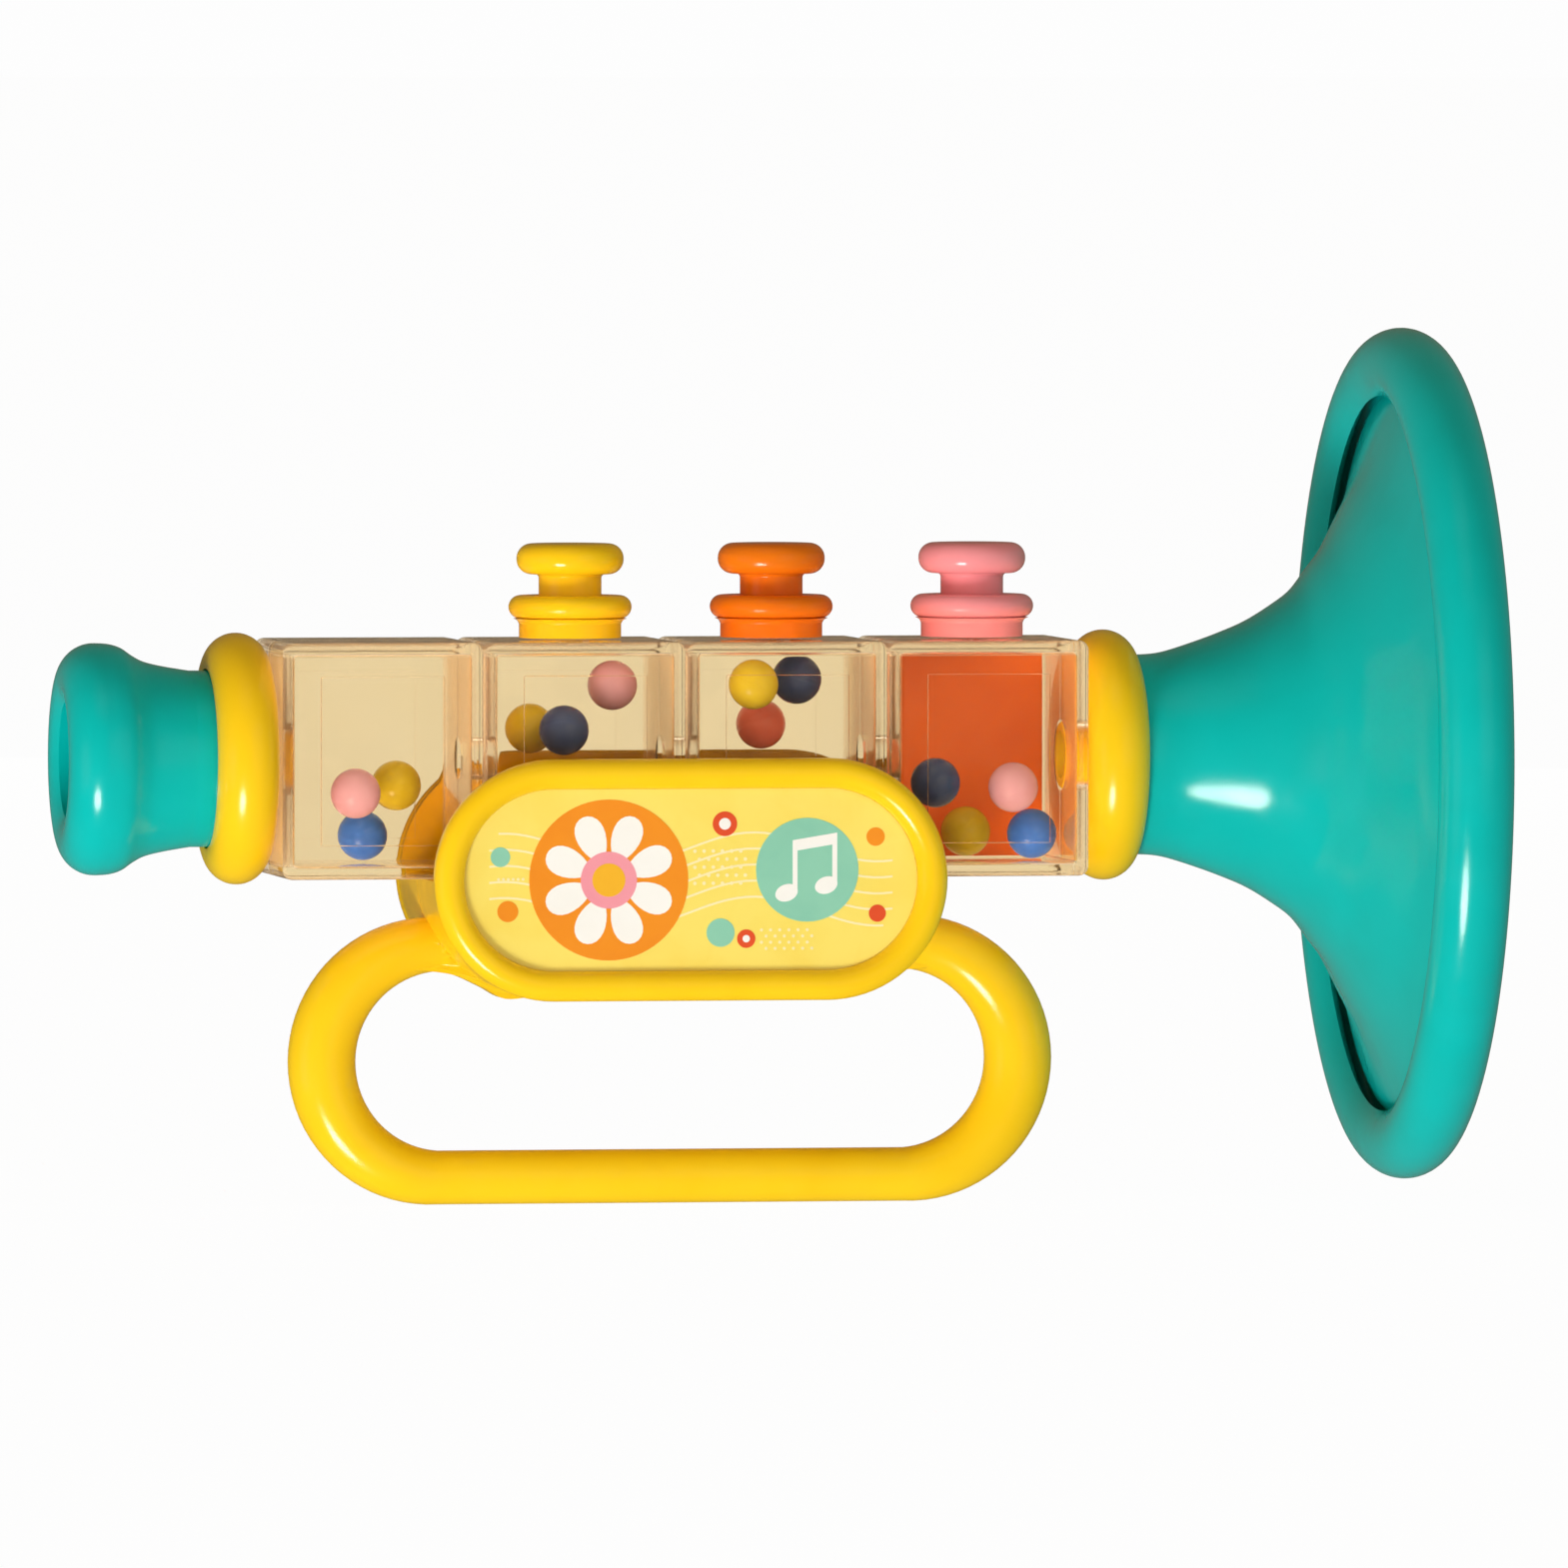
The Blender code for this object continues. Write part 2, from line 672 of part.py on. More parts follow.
def make_valve(number, material):
    """One valve: a flanged guide on the chamber's roof, a button and its spring."""
    x = chamber_middle(number)
    index = number - 1
    flange_low = GUIDE_BASE_HEIGHT
    flange_top = flange_low + GUIDE_FLANGE_THICK
    flange_round = GUIDE_FLANGE_THICK / 2
    hole = VALVE_STEM_RADIUS + PLAY
    edge = (GUIDE_FLANGE_RADIUS - flange_round, flange_low + flange_round)
    guide = [(hole, flange_top)]
    guide += arc(edge, flange_round, math.radians(90), math.radians(-90), 6)
    guide += [
        (GUIDE_BASE_RADIUS, flange_low),
        (GUIDE_BASE_RADIUS, 0),
        (GUIDE_CAVITY_RADIUS, 0),
        (GUIDE_CAVITY_RADIUS, flange_top - GUIDE_TOP_WALL),
        (hole, flange_top - GUIDE_TOP_WALL),
    ]
    place = Matrix.Translation((x, 0, GUIDE_BOTTOM_Z))
    turned_part(f"valve_{index}_guide", guide, VALVE_STEPS, material, place)

    top = VALVE_CAP_THICK
    round_top = (VALVE_CAP_RADIUS - VALVE_CAP_ROUND, top - VALVE_CAP_ROUND)
    round_low = (VALVE_CAP_RADIUS - VALVE_CAP_ROUND, VALVE_CAP_ROUND)
    lip_top = VALVE_LIP_TOP_Z - VALVE_CAP_BOTTOM_Z
    lip_low = lip_top - VALVE_LIP_THICK
    roof = top - VALVE_CAP_TOP_WALL
    button = [(0, top)]
    button += arc(round_top, VALVE_CAP_ROUND, math.radians(90), 0, 3)
    button += arc(round_low, VALVE_CAP_ROUND, 0, math.radians(-90), 3)
    button += [
        (VALVE_STEM_RADIUS, 0),
        (VALVE_STEM_RADIUS, lip_top),
        (VALVE_LIP_RADIUS, lip_top),
        (VALVE_LIP_RADIUS, lip_low),
        (VALVE_STEM_BORE_RADIUS, lip_low),
        (VALVE_STEM_BORE_RADIUS, roof),
        (0, roof),
    ]
    place = Matrix.Translation((x, 0, VALVE_CAP_BOTTOM_Z))
    turned_part(f"valve_{index}_button", button, VALVE_STEPS, material, place, closed=False)
    make_spring(index, x, roof + VALVE_CAP_BOTTOM_Z)


def make_spring(index, x, roof_z):
    """The coil spring that lifts a valve button off the chamber's roof."""
    low = ROW_TOP_Z + PLAY + SPRING_WIRE_RADIUS
    high = roof_z - PLAY - SPRING_WIRE_RADIUS
    count = SPRING_TURNS * SPRING_TURN_POINTS
    points = []
    for step in range(count + 1):
        angle = 2 * math.pi * step / SPRING_TURN_POINTS
        height = low + (high - low) * step / count
        points.append((x + SPRING_RADIUS * math.cos(angle), SPRING_RADIUS * math.sin(angle), height))
    radii = [SPRING_WIRE_RADIUS] * len(points)
    coil = tube(f"valve_{index}_spring", points, radii, SPRING_WIRE_SIDES, False)
    show_tool(coil, "steel")
    coil.data.shade_smooth()


def loop_line():
    """Centre line of the handle's loop and the radius at each point to the facets' corners."""
    end_radius = LOOP_HEIGHT / 2
    corner_share = 1 / math.cos(math.pi / TUBE_SIDES)
    points = []
    radii = []
    for sign, start in ((1, -math.pi / 2), (-1, math.pi / 2)):
        reach = sign * (LOOP_HALF_LENGTH - end_radius)
        for step in range(ROUND_END_STEPS + 1):
            angle = start + math.pi * step / ROUND_END_STEPS
            x = reach + end_radius * math.cos(angle)
            z = LOOP_END_Z + end_radius * math.sin(angle)
            points.append((x, 0, z))
            swell = abs(math.cos(angle))
            radius = LOOP_TUBE_RADIUS + (LOOP_END_TUBE_RADIUS - LOOP_TUBE_RADIUS) * swell
            radii.append(radius * corner_share)
    return points, radii


def screw_places():
    """X, Z and size of every handle screw: two through the drum, two through the loop."""
    drum_z = LOOP_HEIGHT
    return (
        (-BODY_SCREW_X, drum_z, "body"),
        (BODY_SCREW_X, drum_z, "body"),
        (-LOOP_HALF_LENGTH, LOOP_END_Z, "loop"),
        (LOOP_HALF_LENGTH, LOOP_END_Z, "loop"),
    )


def screw_sizes(kind):
    """Shank radius, length, head radius, head thickness and seat of a screw."""
    if kind == "body":
        return (BODY_SCREW_RADIUS, BODY_SCREW_LENGTH, BODY_HEAD_RADIUS, BODY_HEAD_THICK, BODY_SCREW_SEAT)
    return (LOOP_SCREW_RADIUS, LOOP_SCREW_LENGTH, LOOP_HEAD_RADIUS, LOOP_HEAD_THICK, LOOP_SCREW_SEAT)


def web_outline(sign):
    """The web that eases the loop's upper bar into the drum's lower corner."""
    drum_radius = BADGE_HEIGHT / 2
    corner_x = BADGE_LENGTH / 2 - drum_radius
    drum_low = BADGE_Z - drum_radius
    bar_low = LOOP_HEIGHT - LOOP_TUBE_RADIUS
    far = corner_x + drum_radius
    ease = [
        (corner_x + drum_radius * length, drum_low + (bar_low - drum_low) * height)
        for length, height in WEB_SHARES
    ]
    line = smooth_line(ease, 2) + [(far, LOOP_HEIGHT), (corner_x, LOOP_HEIGHT)]
    return [(sign * x, z) for x, z in line]


def join_loop(made):
    """Joins the finger loop and the webs under the drum to a handle half."""
    points, radii = loop_line()
    loop = tube(f"{made.name}_loop", points, radii, TUBE_SIDES, True)
    boolean(made, loop, "UNION")
    for sign in (-1, 1):
        web = flat_outline(f"{made.name}_web_{sign}", web_outline(sign), -WEB_HALF_THICK, WEB_HALF_THICK)
        boolean(made, web, "UNION")


def join_badge_rim(made, side):
    """Joins the raised round frame of the oval badge."""
    half_length = BADGE_LENGTH / 2 - BADGE_RIM_RADIUS
    radius = BADGE_HEIGHT / 2 - BADGE_RIM_RADIUS
    rim_y = side * (CHEEK_OUTER_Y + BADGE_RIM_PROUD)
    points = [(x, rim_y, z) for x, z in stadium(half_length, radius, BADGE_Z, ROUND_END_STEPS)]
    rim = tube(f"{made.name}_rim", points, [BADGE_RIM_RADIUS] * len(points), TUBE_SIDES, True)
    boolean(made, rim, "UNION")


def join_ribs_and_bosses(made, side):
    """Joins the cross ribs and the screw bosses inside the drum."""
    low, high = sorted((-side * OVERRUN / 2, side * (CHEEK_INNER_Y + BITE)))
    bottom = BADGE_Z - BADGE_HEIGHT / 2 + DRUM_INSET + BITE
    for index in range(DRUM_RIBS):
        x = (index - (DRUM_RIBS - 1) / 2) * DRUM_RIB_SPACING
        rib = box_tool(
            f"{made.name}_rib_{index}",
            (x - DRUM_RIB / 2, low, bottom),
            (x + DRUM_RIB / 2, high, DRUM_SEAT_Z - BITE),
        )
        boolean(made, rib, "UNION")
    for index, (x, z, kind) in enumerate(screw_places()):
        if kind == "body":
            ends = ((x, low, z), (x, high, z))
            boss = rod_tool(f"{made.name}_boss_{index}", BODY_BOSS_RADIUS, *ends, HOLE_STEPS)
            boolean(made, boss, "UNION")


def cut_screw_holes(made, side):
    """Cuts blind pilots in the front half, or passages with head wells in the rear half."""
    for index, (x, z, kind) in enumerate(screw_places()):
        shank, length, head, thick, seat = screw_sizes(kind)
        bore = shank + SCREW_CLEARANCE
        if side < 0:
            tip = seat - length - PLAY
            pilot = rod_tool(f"{made.name}_pilot_{index}", bore, (x, OVERRUN, z), (x, tip, z), SCREW_STEPS)
            boolean(made, pilot, "DIFFERENCE")
            continue
        ends = ((x, -OVERRUN, z), (x, seat + OVERRUN, z))
        passage = rod_tool(f"{made.name}_passage_{index}", bore, *ends, SCREW_STEPS)
        boolean(made, passage, "DIFFERENCE")
        ends = ((x, seat, z), (x, CHEEK_OUTER_Y + OVERRUN, z))
        well = rod_tool(f"{made.name}_well_{index}", head + SCREW_CLEARANCE, *ends, HOLE_STEPS)
        boolean(made, well, "DIFFERENCE")


def make_handle_half(name, side):
    """One half of the handle: badge plate, hollow drum, finger loop and screw bosses."""
    drum_half = BADGE_LENGTH / 2 - DRUM_INSET
    drum_radius = BADGE_HEIGHT / 2 - DRUM_INSET
    past_seam = -side * OVERRUN
    outline = stadium(drum_half, drum_radius, BADGE_Z, ROUND_END_STEPS)
    made = flat_outline(name, outline, *sorted((past_seam, side * CHEEK_OUTER_Y)))
    show_tool(made, "yellow_plastic")

    hollow = stadium(drum_half - DRUM_WALL, drum_radius - DRUM_WALL, BADGE_Z, ROUND_END_STEPS)
    space = flat_outline(f"{name}_space", hollow, *sorted((2 * past_seam, side * CHEEK_INNER_Y)))
    below_seat = box_tool(
        f"{name}_below_seat",
        (-BADGE_LENGTH, -CHAMBER_DEPTH, 0),
        (BADGE_LENGTH, CHAMBER_DEPTH, DRUM_SEAT_Z - DRUM_WALL),
    )
    boolean(space, below_seat, "INTERSECT")
    boolean(made, space, "DIFFERENCE")
    near, far = sorted((2 * past_seam, side * CHEEK_INNER_Y))
    channel = box_tool(
        f"{name}_channel",
        (-BADGE_LENGTH, near, DRUM_SEAT_Z),
        (BADGE_LENGTH, far, DRUM_SEAT_Z + BADGE_HEIGHT),
    )
    boolean(made, channel, "DIFFERENCE")

    join_loop(made)
    join_badge_rim(made, side)
    join_ribs_and_bosses(made, side)

    near, far = sorted((side * PLAY / 2, side * CHAMBER_DEPTH))
    kept = box_tool(
        f"{name}_kept",
        (-BADGE_LENGTH, near, -LOOP_HEIGHT),
        (BADGE_LENGTH, far, AXIS_Z + BADGE_HEIGHT),
    )
    boolean(made, kept, "INTERSECT")
    cut_screw_holes(made, side)
    made.data.shade_smooth()


def make_screws():
    """Cross-head screws that close the handle from behind."""
    for index, (x, z, kind) in enumerate(screw_places()):
        shank, length, head, thick, seat = screw_sizes(kind)
        name = f"handle_screw_{index + 1}"
        crown = thick / 4
        points = [
            (0, PLAY + thick),
            (head - crown, PLAY + thick),
            (head, PLAY + thick - crown),
            (head, PLAY),
            (shank, PLAY),
            (shank, shank - length),
            (shank / 2, -length),
            (0, -length),
        ]
        turn = Matrix.Rotation(math.radians(-90), 4, "X")
        place = Matrix.Translation((x, seat, z)) @ turn
        made = turned_part(name, points, SCREW_STEPS, "steel", place, closed=False)
        top = seat + PLAY + thick
        arm = head - 2 * crown
        for across, size in (("x", (arm, CROSS_WIDTH / 2)), ("z", (CROSS_WIDTH / 2, arm))):
            slot = box_tool(
                f"{name}_slot_{across}",
                (x - size[0], top - CROSS_DEPTH, z - size[1]),
                (x + size[0], top + OVERRUN, z + size[1]),
            )
            boolean(made, slot, "DIFFERENCE")


def make_label():
    """The printed film in the recess of the front badge."""
    front = -(CHEEK_OUTER_Y + PLAY)
    outline = stadium(LABEL_LENGTH / 2, LABEL_HEIGHT / 2, BADGE_Z, ROUND_END_STEPS)
    show_tool(flat_outline("badge_label", outline, front - LABEL_THICK, front), "label_film")


clear_scene()
PARTS = new_collection("toy_trumpet")
CUTTERS = new_collection("cutters")

make_mouthpiece()
make_reed()
make_collar("mouthpiece_collar", MOUTHPIECE_NECK_RADIUS, -1)
for chamber in range(1, CHAMBER_COUNT + 1):
    make_chamber_half(chamber, -1, f"chamber_{chamber}_front")
    make_chamber_half(chamber, 1, f"chamber_{chamber}_rear")
make_backing()
make_beads()
for chamber, plastic in VALVES:
    make_valve(chamber, plastic)
make_collar("bell_collar", BELL_NECK_RADIUS, 1)
make_bell()
make_handle_half("handle_front", -1)
make_handle_half("handle_rear", 1)
make_screws()
make_label()
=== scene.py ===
"""Toy trumpet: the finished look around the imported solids, in metres, mouthpiece at -X and bell at +X."""
import json
import math
import random

import bmesh
import bpy
from mathutils import Matrix, Vector

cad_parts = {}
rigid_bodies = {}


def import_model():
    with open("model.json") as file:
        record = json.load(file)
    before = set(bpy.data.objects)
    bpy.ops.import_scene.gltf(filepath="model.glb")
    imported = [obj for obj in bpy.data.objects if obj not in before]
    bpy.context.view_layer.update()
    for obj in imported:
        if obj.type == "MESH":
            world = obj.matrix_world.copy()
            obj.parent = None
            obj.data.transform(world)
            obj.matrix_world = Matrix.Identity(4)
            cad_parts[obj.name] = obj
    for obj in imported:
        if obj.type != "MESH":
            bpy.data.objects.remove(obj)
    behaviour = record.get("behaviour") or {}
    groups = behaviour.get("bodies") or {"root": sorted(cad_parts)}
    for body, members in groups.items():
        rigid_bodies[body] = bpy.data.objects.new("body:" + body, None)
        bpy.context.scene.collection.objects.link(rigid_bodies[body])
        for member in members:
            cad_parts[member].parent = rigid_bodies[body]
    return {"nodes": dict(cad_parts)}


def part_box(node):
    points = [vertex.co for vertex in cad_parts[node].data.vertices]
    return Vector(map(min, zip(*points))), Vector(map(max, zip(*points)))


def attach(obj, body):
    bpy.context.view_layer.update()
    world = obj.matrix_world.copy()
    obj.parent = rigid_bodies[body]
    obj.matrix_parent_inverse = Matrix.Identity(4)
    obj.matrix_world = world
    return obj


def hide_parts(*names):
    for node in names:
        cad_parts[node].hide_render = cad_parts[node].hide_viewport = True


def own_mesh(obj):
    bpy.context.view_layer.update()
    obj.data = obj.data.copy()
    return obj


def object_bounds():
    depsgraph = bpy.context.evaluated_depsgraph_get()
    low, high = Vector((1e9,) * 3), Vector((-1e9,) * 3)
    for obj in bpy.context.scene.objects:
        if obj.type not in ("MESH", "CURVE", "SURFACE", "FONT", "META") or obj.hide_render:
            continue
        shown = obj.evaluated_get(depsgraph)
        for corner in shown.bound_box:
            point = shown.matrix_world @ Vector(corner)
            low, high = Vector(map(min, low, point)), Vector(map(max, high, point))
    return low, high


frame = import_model()
cad_box = [list(corner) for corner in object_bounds()]
for item in list(bpy.data.objects):
    if item.name in ("Cube", "Light", "Camera"):
        bpy.data.objects.remove(item)

# MOUTHPIECE
# A hollow teal neck that swells into a thick rolled lip, moulded in one piece of glossy plastic.
# It is turned from its half section, and its tail is pressed into the yellow ring behind it.
AXIS_Z = sum(corner.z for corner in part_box("mouthpiece")) / 2
TRUMPET = "trumpet_body"
WELD = 0.000002
ROUND = 96
SHARP_EDGE = 32


def arc(middle, radius, start, end, count):
    """Points along an arc, angles in degrees."""
    turns = [math.radians(start + (end - start) * step / count) for step in range(count + 1)]
    return [(middle[0] + radius * math.cos(a), middle[1] + radius * math.sin(a)) for a in turns]


def smooth_line(points, splits):
    """A smooth line through chosen points."""
    line = []
    last = len(points) - 1
    for index in range(last):
        a, b = points[max(index - 1, 0)], points[index]
        c, d = points[index + 1], points[min(index + 2, last)]
        for step in range(splits):
            t = step / splits
            line.append(tuple(
                (2 * q + (r - p) * t
                 + (2 * p - 5 * q + 4 * r - s) * t * t
                 + (3 * q - p - 3 * r + s) * t ** 3) / 2
                for p, q, r, s in zip(a, b, c, d)
            ))
    return line + [points[last]]


def smooth_but_sharp(piece, sharp):
    """Shades a piece smooth except at its sharp edges, and keeps its flats flat."""
    piece.data.shade_smooth()
    piece.data.set_sharp_from_angle(angle=math.radians(sharp))
    flats = piece.modifiers.new("flat_flats", "WEIGHTED_NORMAL")
    flats.keep_sharp = True
    flats.weight = 100
    return piece


def new_piece(name, bm, place=None, sharp=SHARP_EDGE):
    """Puts a finished mesh in the scene, smooth except at its sharp edges."""
    mesh = bpy.data.meshes.new(name)
    bmesh.ops.remove_doubles(bm, verts=bm.verts, dist=WELD)
    bmesh.ops.recalc_face_normals(bm, faces=bm.faces)
    bm.to_mesh(mesh)
    bm.free()
    if place:
        mesh.transform(place)
    piece = bpy.data.objects.new(name, mesh)
    bpy.context.scene.collection.objects.link(piece)
    return smooth_but_sharp(piece, sharp)


def skin(bm, rings):
    """Joins each ring of corners to the next one."""
    for first, second in zip(rings, rings[1:]):
        for index in range(len(first)):
            following = (index + 1) % len(first)
            bm.faces.new((first[index], first[following], second[following], second[index]))


def turned(name, line, place, steps=ROUND, closed=True, sharp=SHARP_EDGE):
    """Turns a (radius, height) line about its own Z."""
    bm = bmesh.new()
    turns = [2 * math.pi * step / steps for step in range(steps)]
    rings = [
        [bm.verts.new((radius * math.cos(turn), radius * math.sin(turn), height)) for turn in turns]
        for radius, height in line
    ]
    skin(bm, rings + rings[:1] if closed else rings)
    return new_piece(name, bm, place, sharp)


def facing(x, direction):
    """A place on the trumpet's axis, the piece's own Z along +X or -X."""
    return Matrix.Translation((x, 0, AXIS_Z)) @ Matrix.Rotation(math.radians(90) * direction, 4, "Y")


def socket(group, way, kind, name, value=None):
    """One named input or output of a surface group."""
    made = group.interface.new_socket(name, in_out=way, socket_type=kind)
    if value is not None:
        made.default_value = value


def wire(tree, *pairs):
    """Joins outputs to inputs."""
    for start, end in pairs:
        tree.links.new(start, end)


def dial(node, **values):
    """Sets inputs of a node by their names, with an underscore for each space."""
    for name, value in values.items():
        node.inputs[name.replace("_", " ")].default_value = value


def colour_mix(tree):
    """A Mix node for colours."""
    made = tree.nodes.new("ShaderNodeMix")
    made.data_type = "RGBA"
    return made


def spread(node, *ends):
    """Sets the ends of a Map Range, in the order of its inputs."""
    for name, value in zip(("From Min", "From Max", "To Min", "To Max"), ends):
        node.inputs[name].default_value = value


def moulded_surface():
    """Moulded toy plastic: faint flow marks in the colour, a dulled patch here and there and fine grain."""
    group = bpy.data.node_groups.new("moulded_surface", "ShaderNodeTree")
    socket(group, "INPUT", "NodeSocketColor", "Colour", (0.8, 0.8, 0.8, 1))
    socket(group, "INPUT", "NodeSocketColor", "Deep colour", (0.6, 0.6, 0.6, 1))
    socket(group, "INPUT", "NodeSocketFloat", "Flow size", 60.0)
    socket(group, "INPUT", "NodeSocketFloat", "Grain height", 0.05)
    socket(group, "INPUT", "NodeSocketFloat", "Gloss", 0.25)
    socket(group, "OUTPUT", "NodeSocketColor", "Colour")
    socket(group, "OUTPUT", "NodeSocketFloat", "Roughness")
    socket(group, "OUTPUT", "NodeSocketVector", "Normal")
    node = group.nodes.new
    taken, given = node("NodeGroupInput"), node("NodeGroupOutput")
    place = node("ShaderNodeTexCoord")
    flow = node("ShaderNodeTexNoise")
    dial(flow, Detail=3.0, Distortion=0.6)
    flow_share = node("ShaderNodeMapRange")
    spread(flow_share, 0.42, 0.72, 0.0, 0.55)
    tint = colour_mix(group)
    smear = node("ShaderNodeTexNoise")
    dial(smear, Scale=210.0, Detail=4.0)
    dulled = node("ShaderNodeMapRange")
    spread(dulled, 0.35, 0.75, -0.03, 0.07)
    rough = node("ShaderNodeMath")
    rough.operation = "ADD"
    grain = node("ShaderNodeTexNoise")
    dial(grain, Scale=1400.0, Detail=2.0)
    bump = node("ShaderNodeBump")
    dial(bump, Distance=0.00006)
    wire(group,
         (place.outputs["Object"], flow.inputs["Vector"]),
         (place.outputs["Object"], smear.inputs["Vector"]),
         (place.outputs["Object"], grain.inputs["Vector"]),
         (taken.outputs["Flow size"], flow.inputs["Scale"]),
         (flow.outputs["Fac"], flow_share.inputs["Value"]),
         (flow_share.outputs["Result"], tint.inputs["Factor"]),
         (taken.outputs["Colour"], tint.inputs["A"]),
         (taken.outputs["Deep colour"], tint.inputs["B"]),
         (smear.outputs["Fac"], dulled.inputs["Value"]),
         (dulled.outputs["Result"], rough.inputs[0]),
         (taken.outputs["Gloss"], rough.inputs[1]),
         (grain.outputs["Fac"], bump.inputs["Height"]),
         (taken.outputs["Grain height"], bump.inputs["Strength"]),
         (tint.outputs["Result"], given.inputs["Colour"]),
         (rough.outputs["Value"], given.inputs["Roughness"]),
         (bump.outputs["Normal"], given.inputs["Normal"]))
    return group


MOULDED = moulded_surface()


def new_material(name):
    """A fresh material, its node tree and its shader."""
    made = bpy.data.materials.new(name)
    made.use_nodes = True
    return made, made.node_tree, made.node_tree.nodes["Principled BSDF"]


def plastic(name, colour, deep, gloss, grain=0.05, flow=60.0):
    """A glossy moulded plastic in one colour, with a deeper tone in its flow marks."""
    made, tree, shader = new_material(name)
    surface = tree.nodes.new("ShaderNodeGroup")
    surface.node_tree = MOULDED
    dial(surface, Colour=(*colour, 1), Deep_colour=(*deep, 1), Flow_size=flow,
         Grain_height=grain, Gloss=gloss)
    dial(shader, Specular_IOR_Level=0.30)
    wire(tree,
         (surface.outputs["Colour"], shader.inputs["Base Color"]),
         (surface.outputs["Roughness"], shader.inputs["Roughness"]),
         (surface.outputs["Normal"], shader.inputs["Normal"]))
    return made


def fit(piece, material, node, body=TRUMPET):
    """Gives a piece its finish and puts it in the place of its solid."""
    piece.data.materials.clear()
    piece.data.materials.append(material)
    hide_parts(node)
    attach(piece, body)
    return piece


TEAL = plastic("teal_moulding", (0.000, 0.500, 0.475), (0.000, 0.450, 0.420), gloss=0.17)

mouth_low, mouth_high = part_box("mouthpiece")
CHAMBER_WALL = 0.0018
ROW_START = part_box("mouthpiece_collar")[1].x - CHAMBER_WALL
NECK_RADIUS = 0.0143
NECK_BORE = 0.0121
LIP_ROUND = 0.0057
LIP_OUTER = (mouth_high.z - mouth_low.z) / 2
LIP_MIDDLE = (LIP_OUTER - LIP_ROUND, ROW_START - mouth_low.x - LIP_ROUND)
NECK_TAIL = ROW_START - mouth_high.x
TAIL_EDGE = 0.0004
THROAT_RADIUS = 0.0095
SHOULDER_LENGTH = 0.0155
SHOULDER = ((0.00, 1.00), (0.14, 0.97), (0.27, 0.84), (0.39, 0.56), (0.52, 0.33), (0.72, 0.16), (1.00, 0.00))
THROAT = ((NECK_BORE, -0.0045), (NECK_BORE - 0.0006, -0.0030), (THROAT_RADIUS + 0.0004, -0.0006),
          (THROAT_RADIUS, 0.0010))

throat_turn = math.degrees(math.acos((THROAT_RADIUS - LIP_MIDDLE[0]) / LIP_ROUND))
lip_line = arc(LIP_MIDDLE, LIP_ROUND, throat_turn, 0, 22)
shoulder_line = smooth_line([
    (NECK_RADIUS + (LIP_OUTER - NECK_RADIUS) * height, LIP_MIDDLE[1] - SHOULDER_LENGTH * length)
    for length, height in SHOULDER
], 5)
tail_line = [(NECK_RADIUS, NECK_TAIL + TAIL_EDGE), (NECK_RADIUS - TAIL_EDGE, NECK_TAIL),
             (NECK_BORE, NECK_TAIL)]
throat_line = smooth_line([(radius, LIP_MIDDLE[1] + along) for radius, along in THROAT], 3)
mouthpiece = turned("mouthpiece_moulding", lip_line + shoulder_line[1:] + tail_line + throat_line,
                    facing(ROW_START, -1))
fit(mouthpiece, TEAL, "mouthpiece")

# REED
# An ivory plug pressed into the neck, with a slot that a thin springy metal tongue covers.
# Breath makes the tongue sound. It shows only down the throat of the mouthpiece.
CREAM = plastic("reed_ivory", (0.86, 0.84, 0.76), (0.78, 0.74, 0.64), gloss=0.42, grain=0.10)
PLUG_CHAMFER = 0.0005
SLOT_HALF_WIDTH = 0.0018
SLOT_HALF_HEIGHT = 0.0065
SLOT_ROUND = 0.0006
SLOT_PAST = 0.002


def rounded_box(bm, low, high, edge, steps):
    """A box between two corners with rounded edges."""
    low, high = Vector(low), Vector(high)
    made = bmesh.ops.create_cube(bm, size=1.0)["verts"]
    bmesh.ops.scale(bm, vec=high - low, verts=made)
    bmesh.ops.translate(bm, vec=(low + high) / 2, verts=made)
    bmesh.ops.bevel(bm, geom=bm.edges[:], offset=edge, segments=steps, profile=0.5, affect="EDGES",
                    clamp_overlap=True)


def hidden(bm, name):
    """A solid that only cuts or joins another one."""
    made = new_piece(name, bm)
    made.modifiers.clear()
    return made


def carve(piece, *jobs):
    """Applies Boolean jobs, each (operation, other solid), and drops the other solids."""
    piece.modifiers.clear()
    for operation, other in jobs:
        step = piece.modifiers.new(operation.lower(), "BOOLEAN")
        step.operation = operation
        step.solver = "EXACT"
        step.object = other
    bpy.context.view_layer.update()
    seen = piece.evaluated_get(bpy.context.evaluated_depsgraph_get())
    mesh = bpy.data.meshes.new_from_object(seen)
    piece.modifiers.clear()
    piece.data = mesh
    for operation, other in jobs:
        bpy.data.objects.remove(other, do_unlink=True)
    return piece


block_low, block_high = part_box("reed_block")
block_radius = (block_high.z - block_low.z) / 2
block_length = block_high.x - block_low.x
block = turned("reed_plug", [
    (0, block_length), (block_radius - PLUG_CHAMFER, block_length),
    (block_radius, block_length - PLUG_CHAMFER), (block_radius, PLUG_CHAMFER),
    (block_radius - PLUG_CHAMFER, 0), (0, 0),
], facing(block_high.x, -1), closed=False)
slot_cut = bmesh.new()
rounded_box(slot_cut, (block_low.x - SLOT_PAST, -SLOT_HALF_WIDTH, AXIS_Z - SLOT_HALF_HEIGHT),
            (block_high.x + SLOT_PAST, SLOT_HALF_WIDTH, AXIS_Z + SLOT_HALF_HEIGHT), SLOT_ROUND, 2)
carve(block, ("DIFFERENCE", hidden(slot_cut, "reed_slot_cut")))
fit(smooth_but_sharp(block, SHARP_EDGE), CREAM, "reed_block")


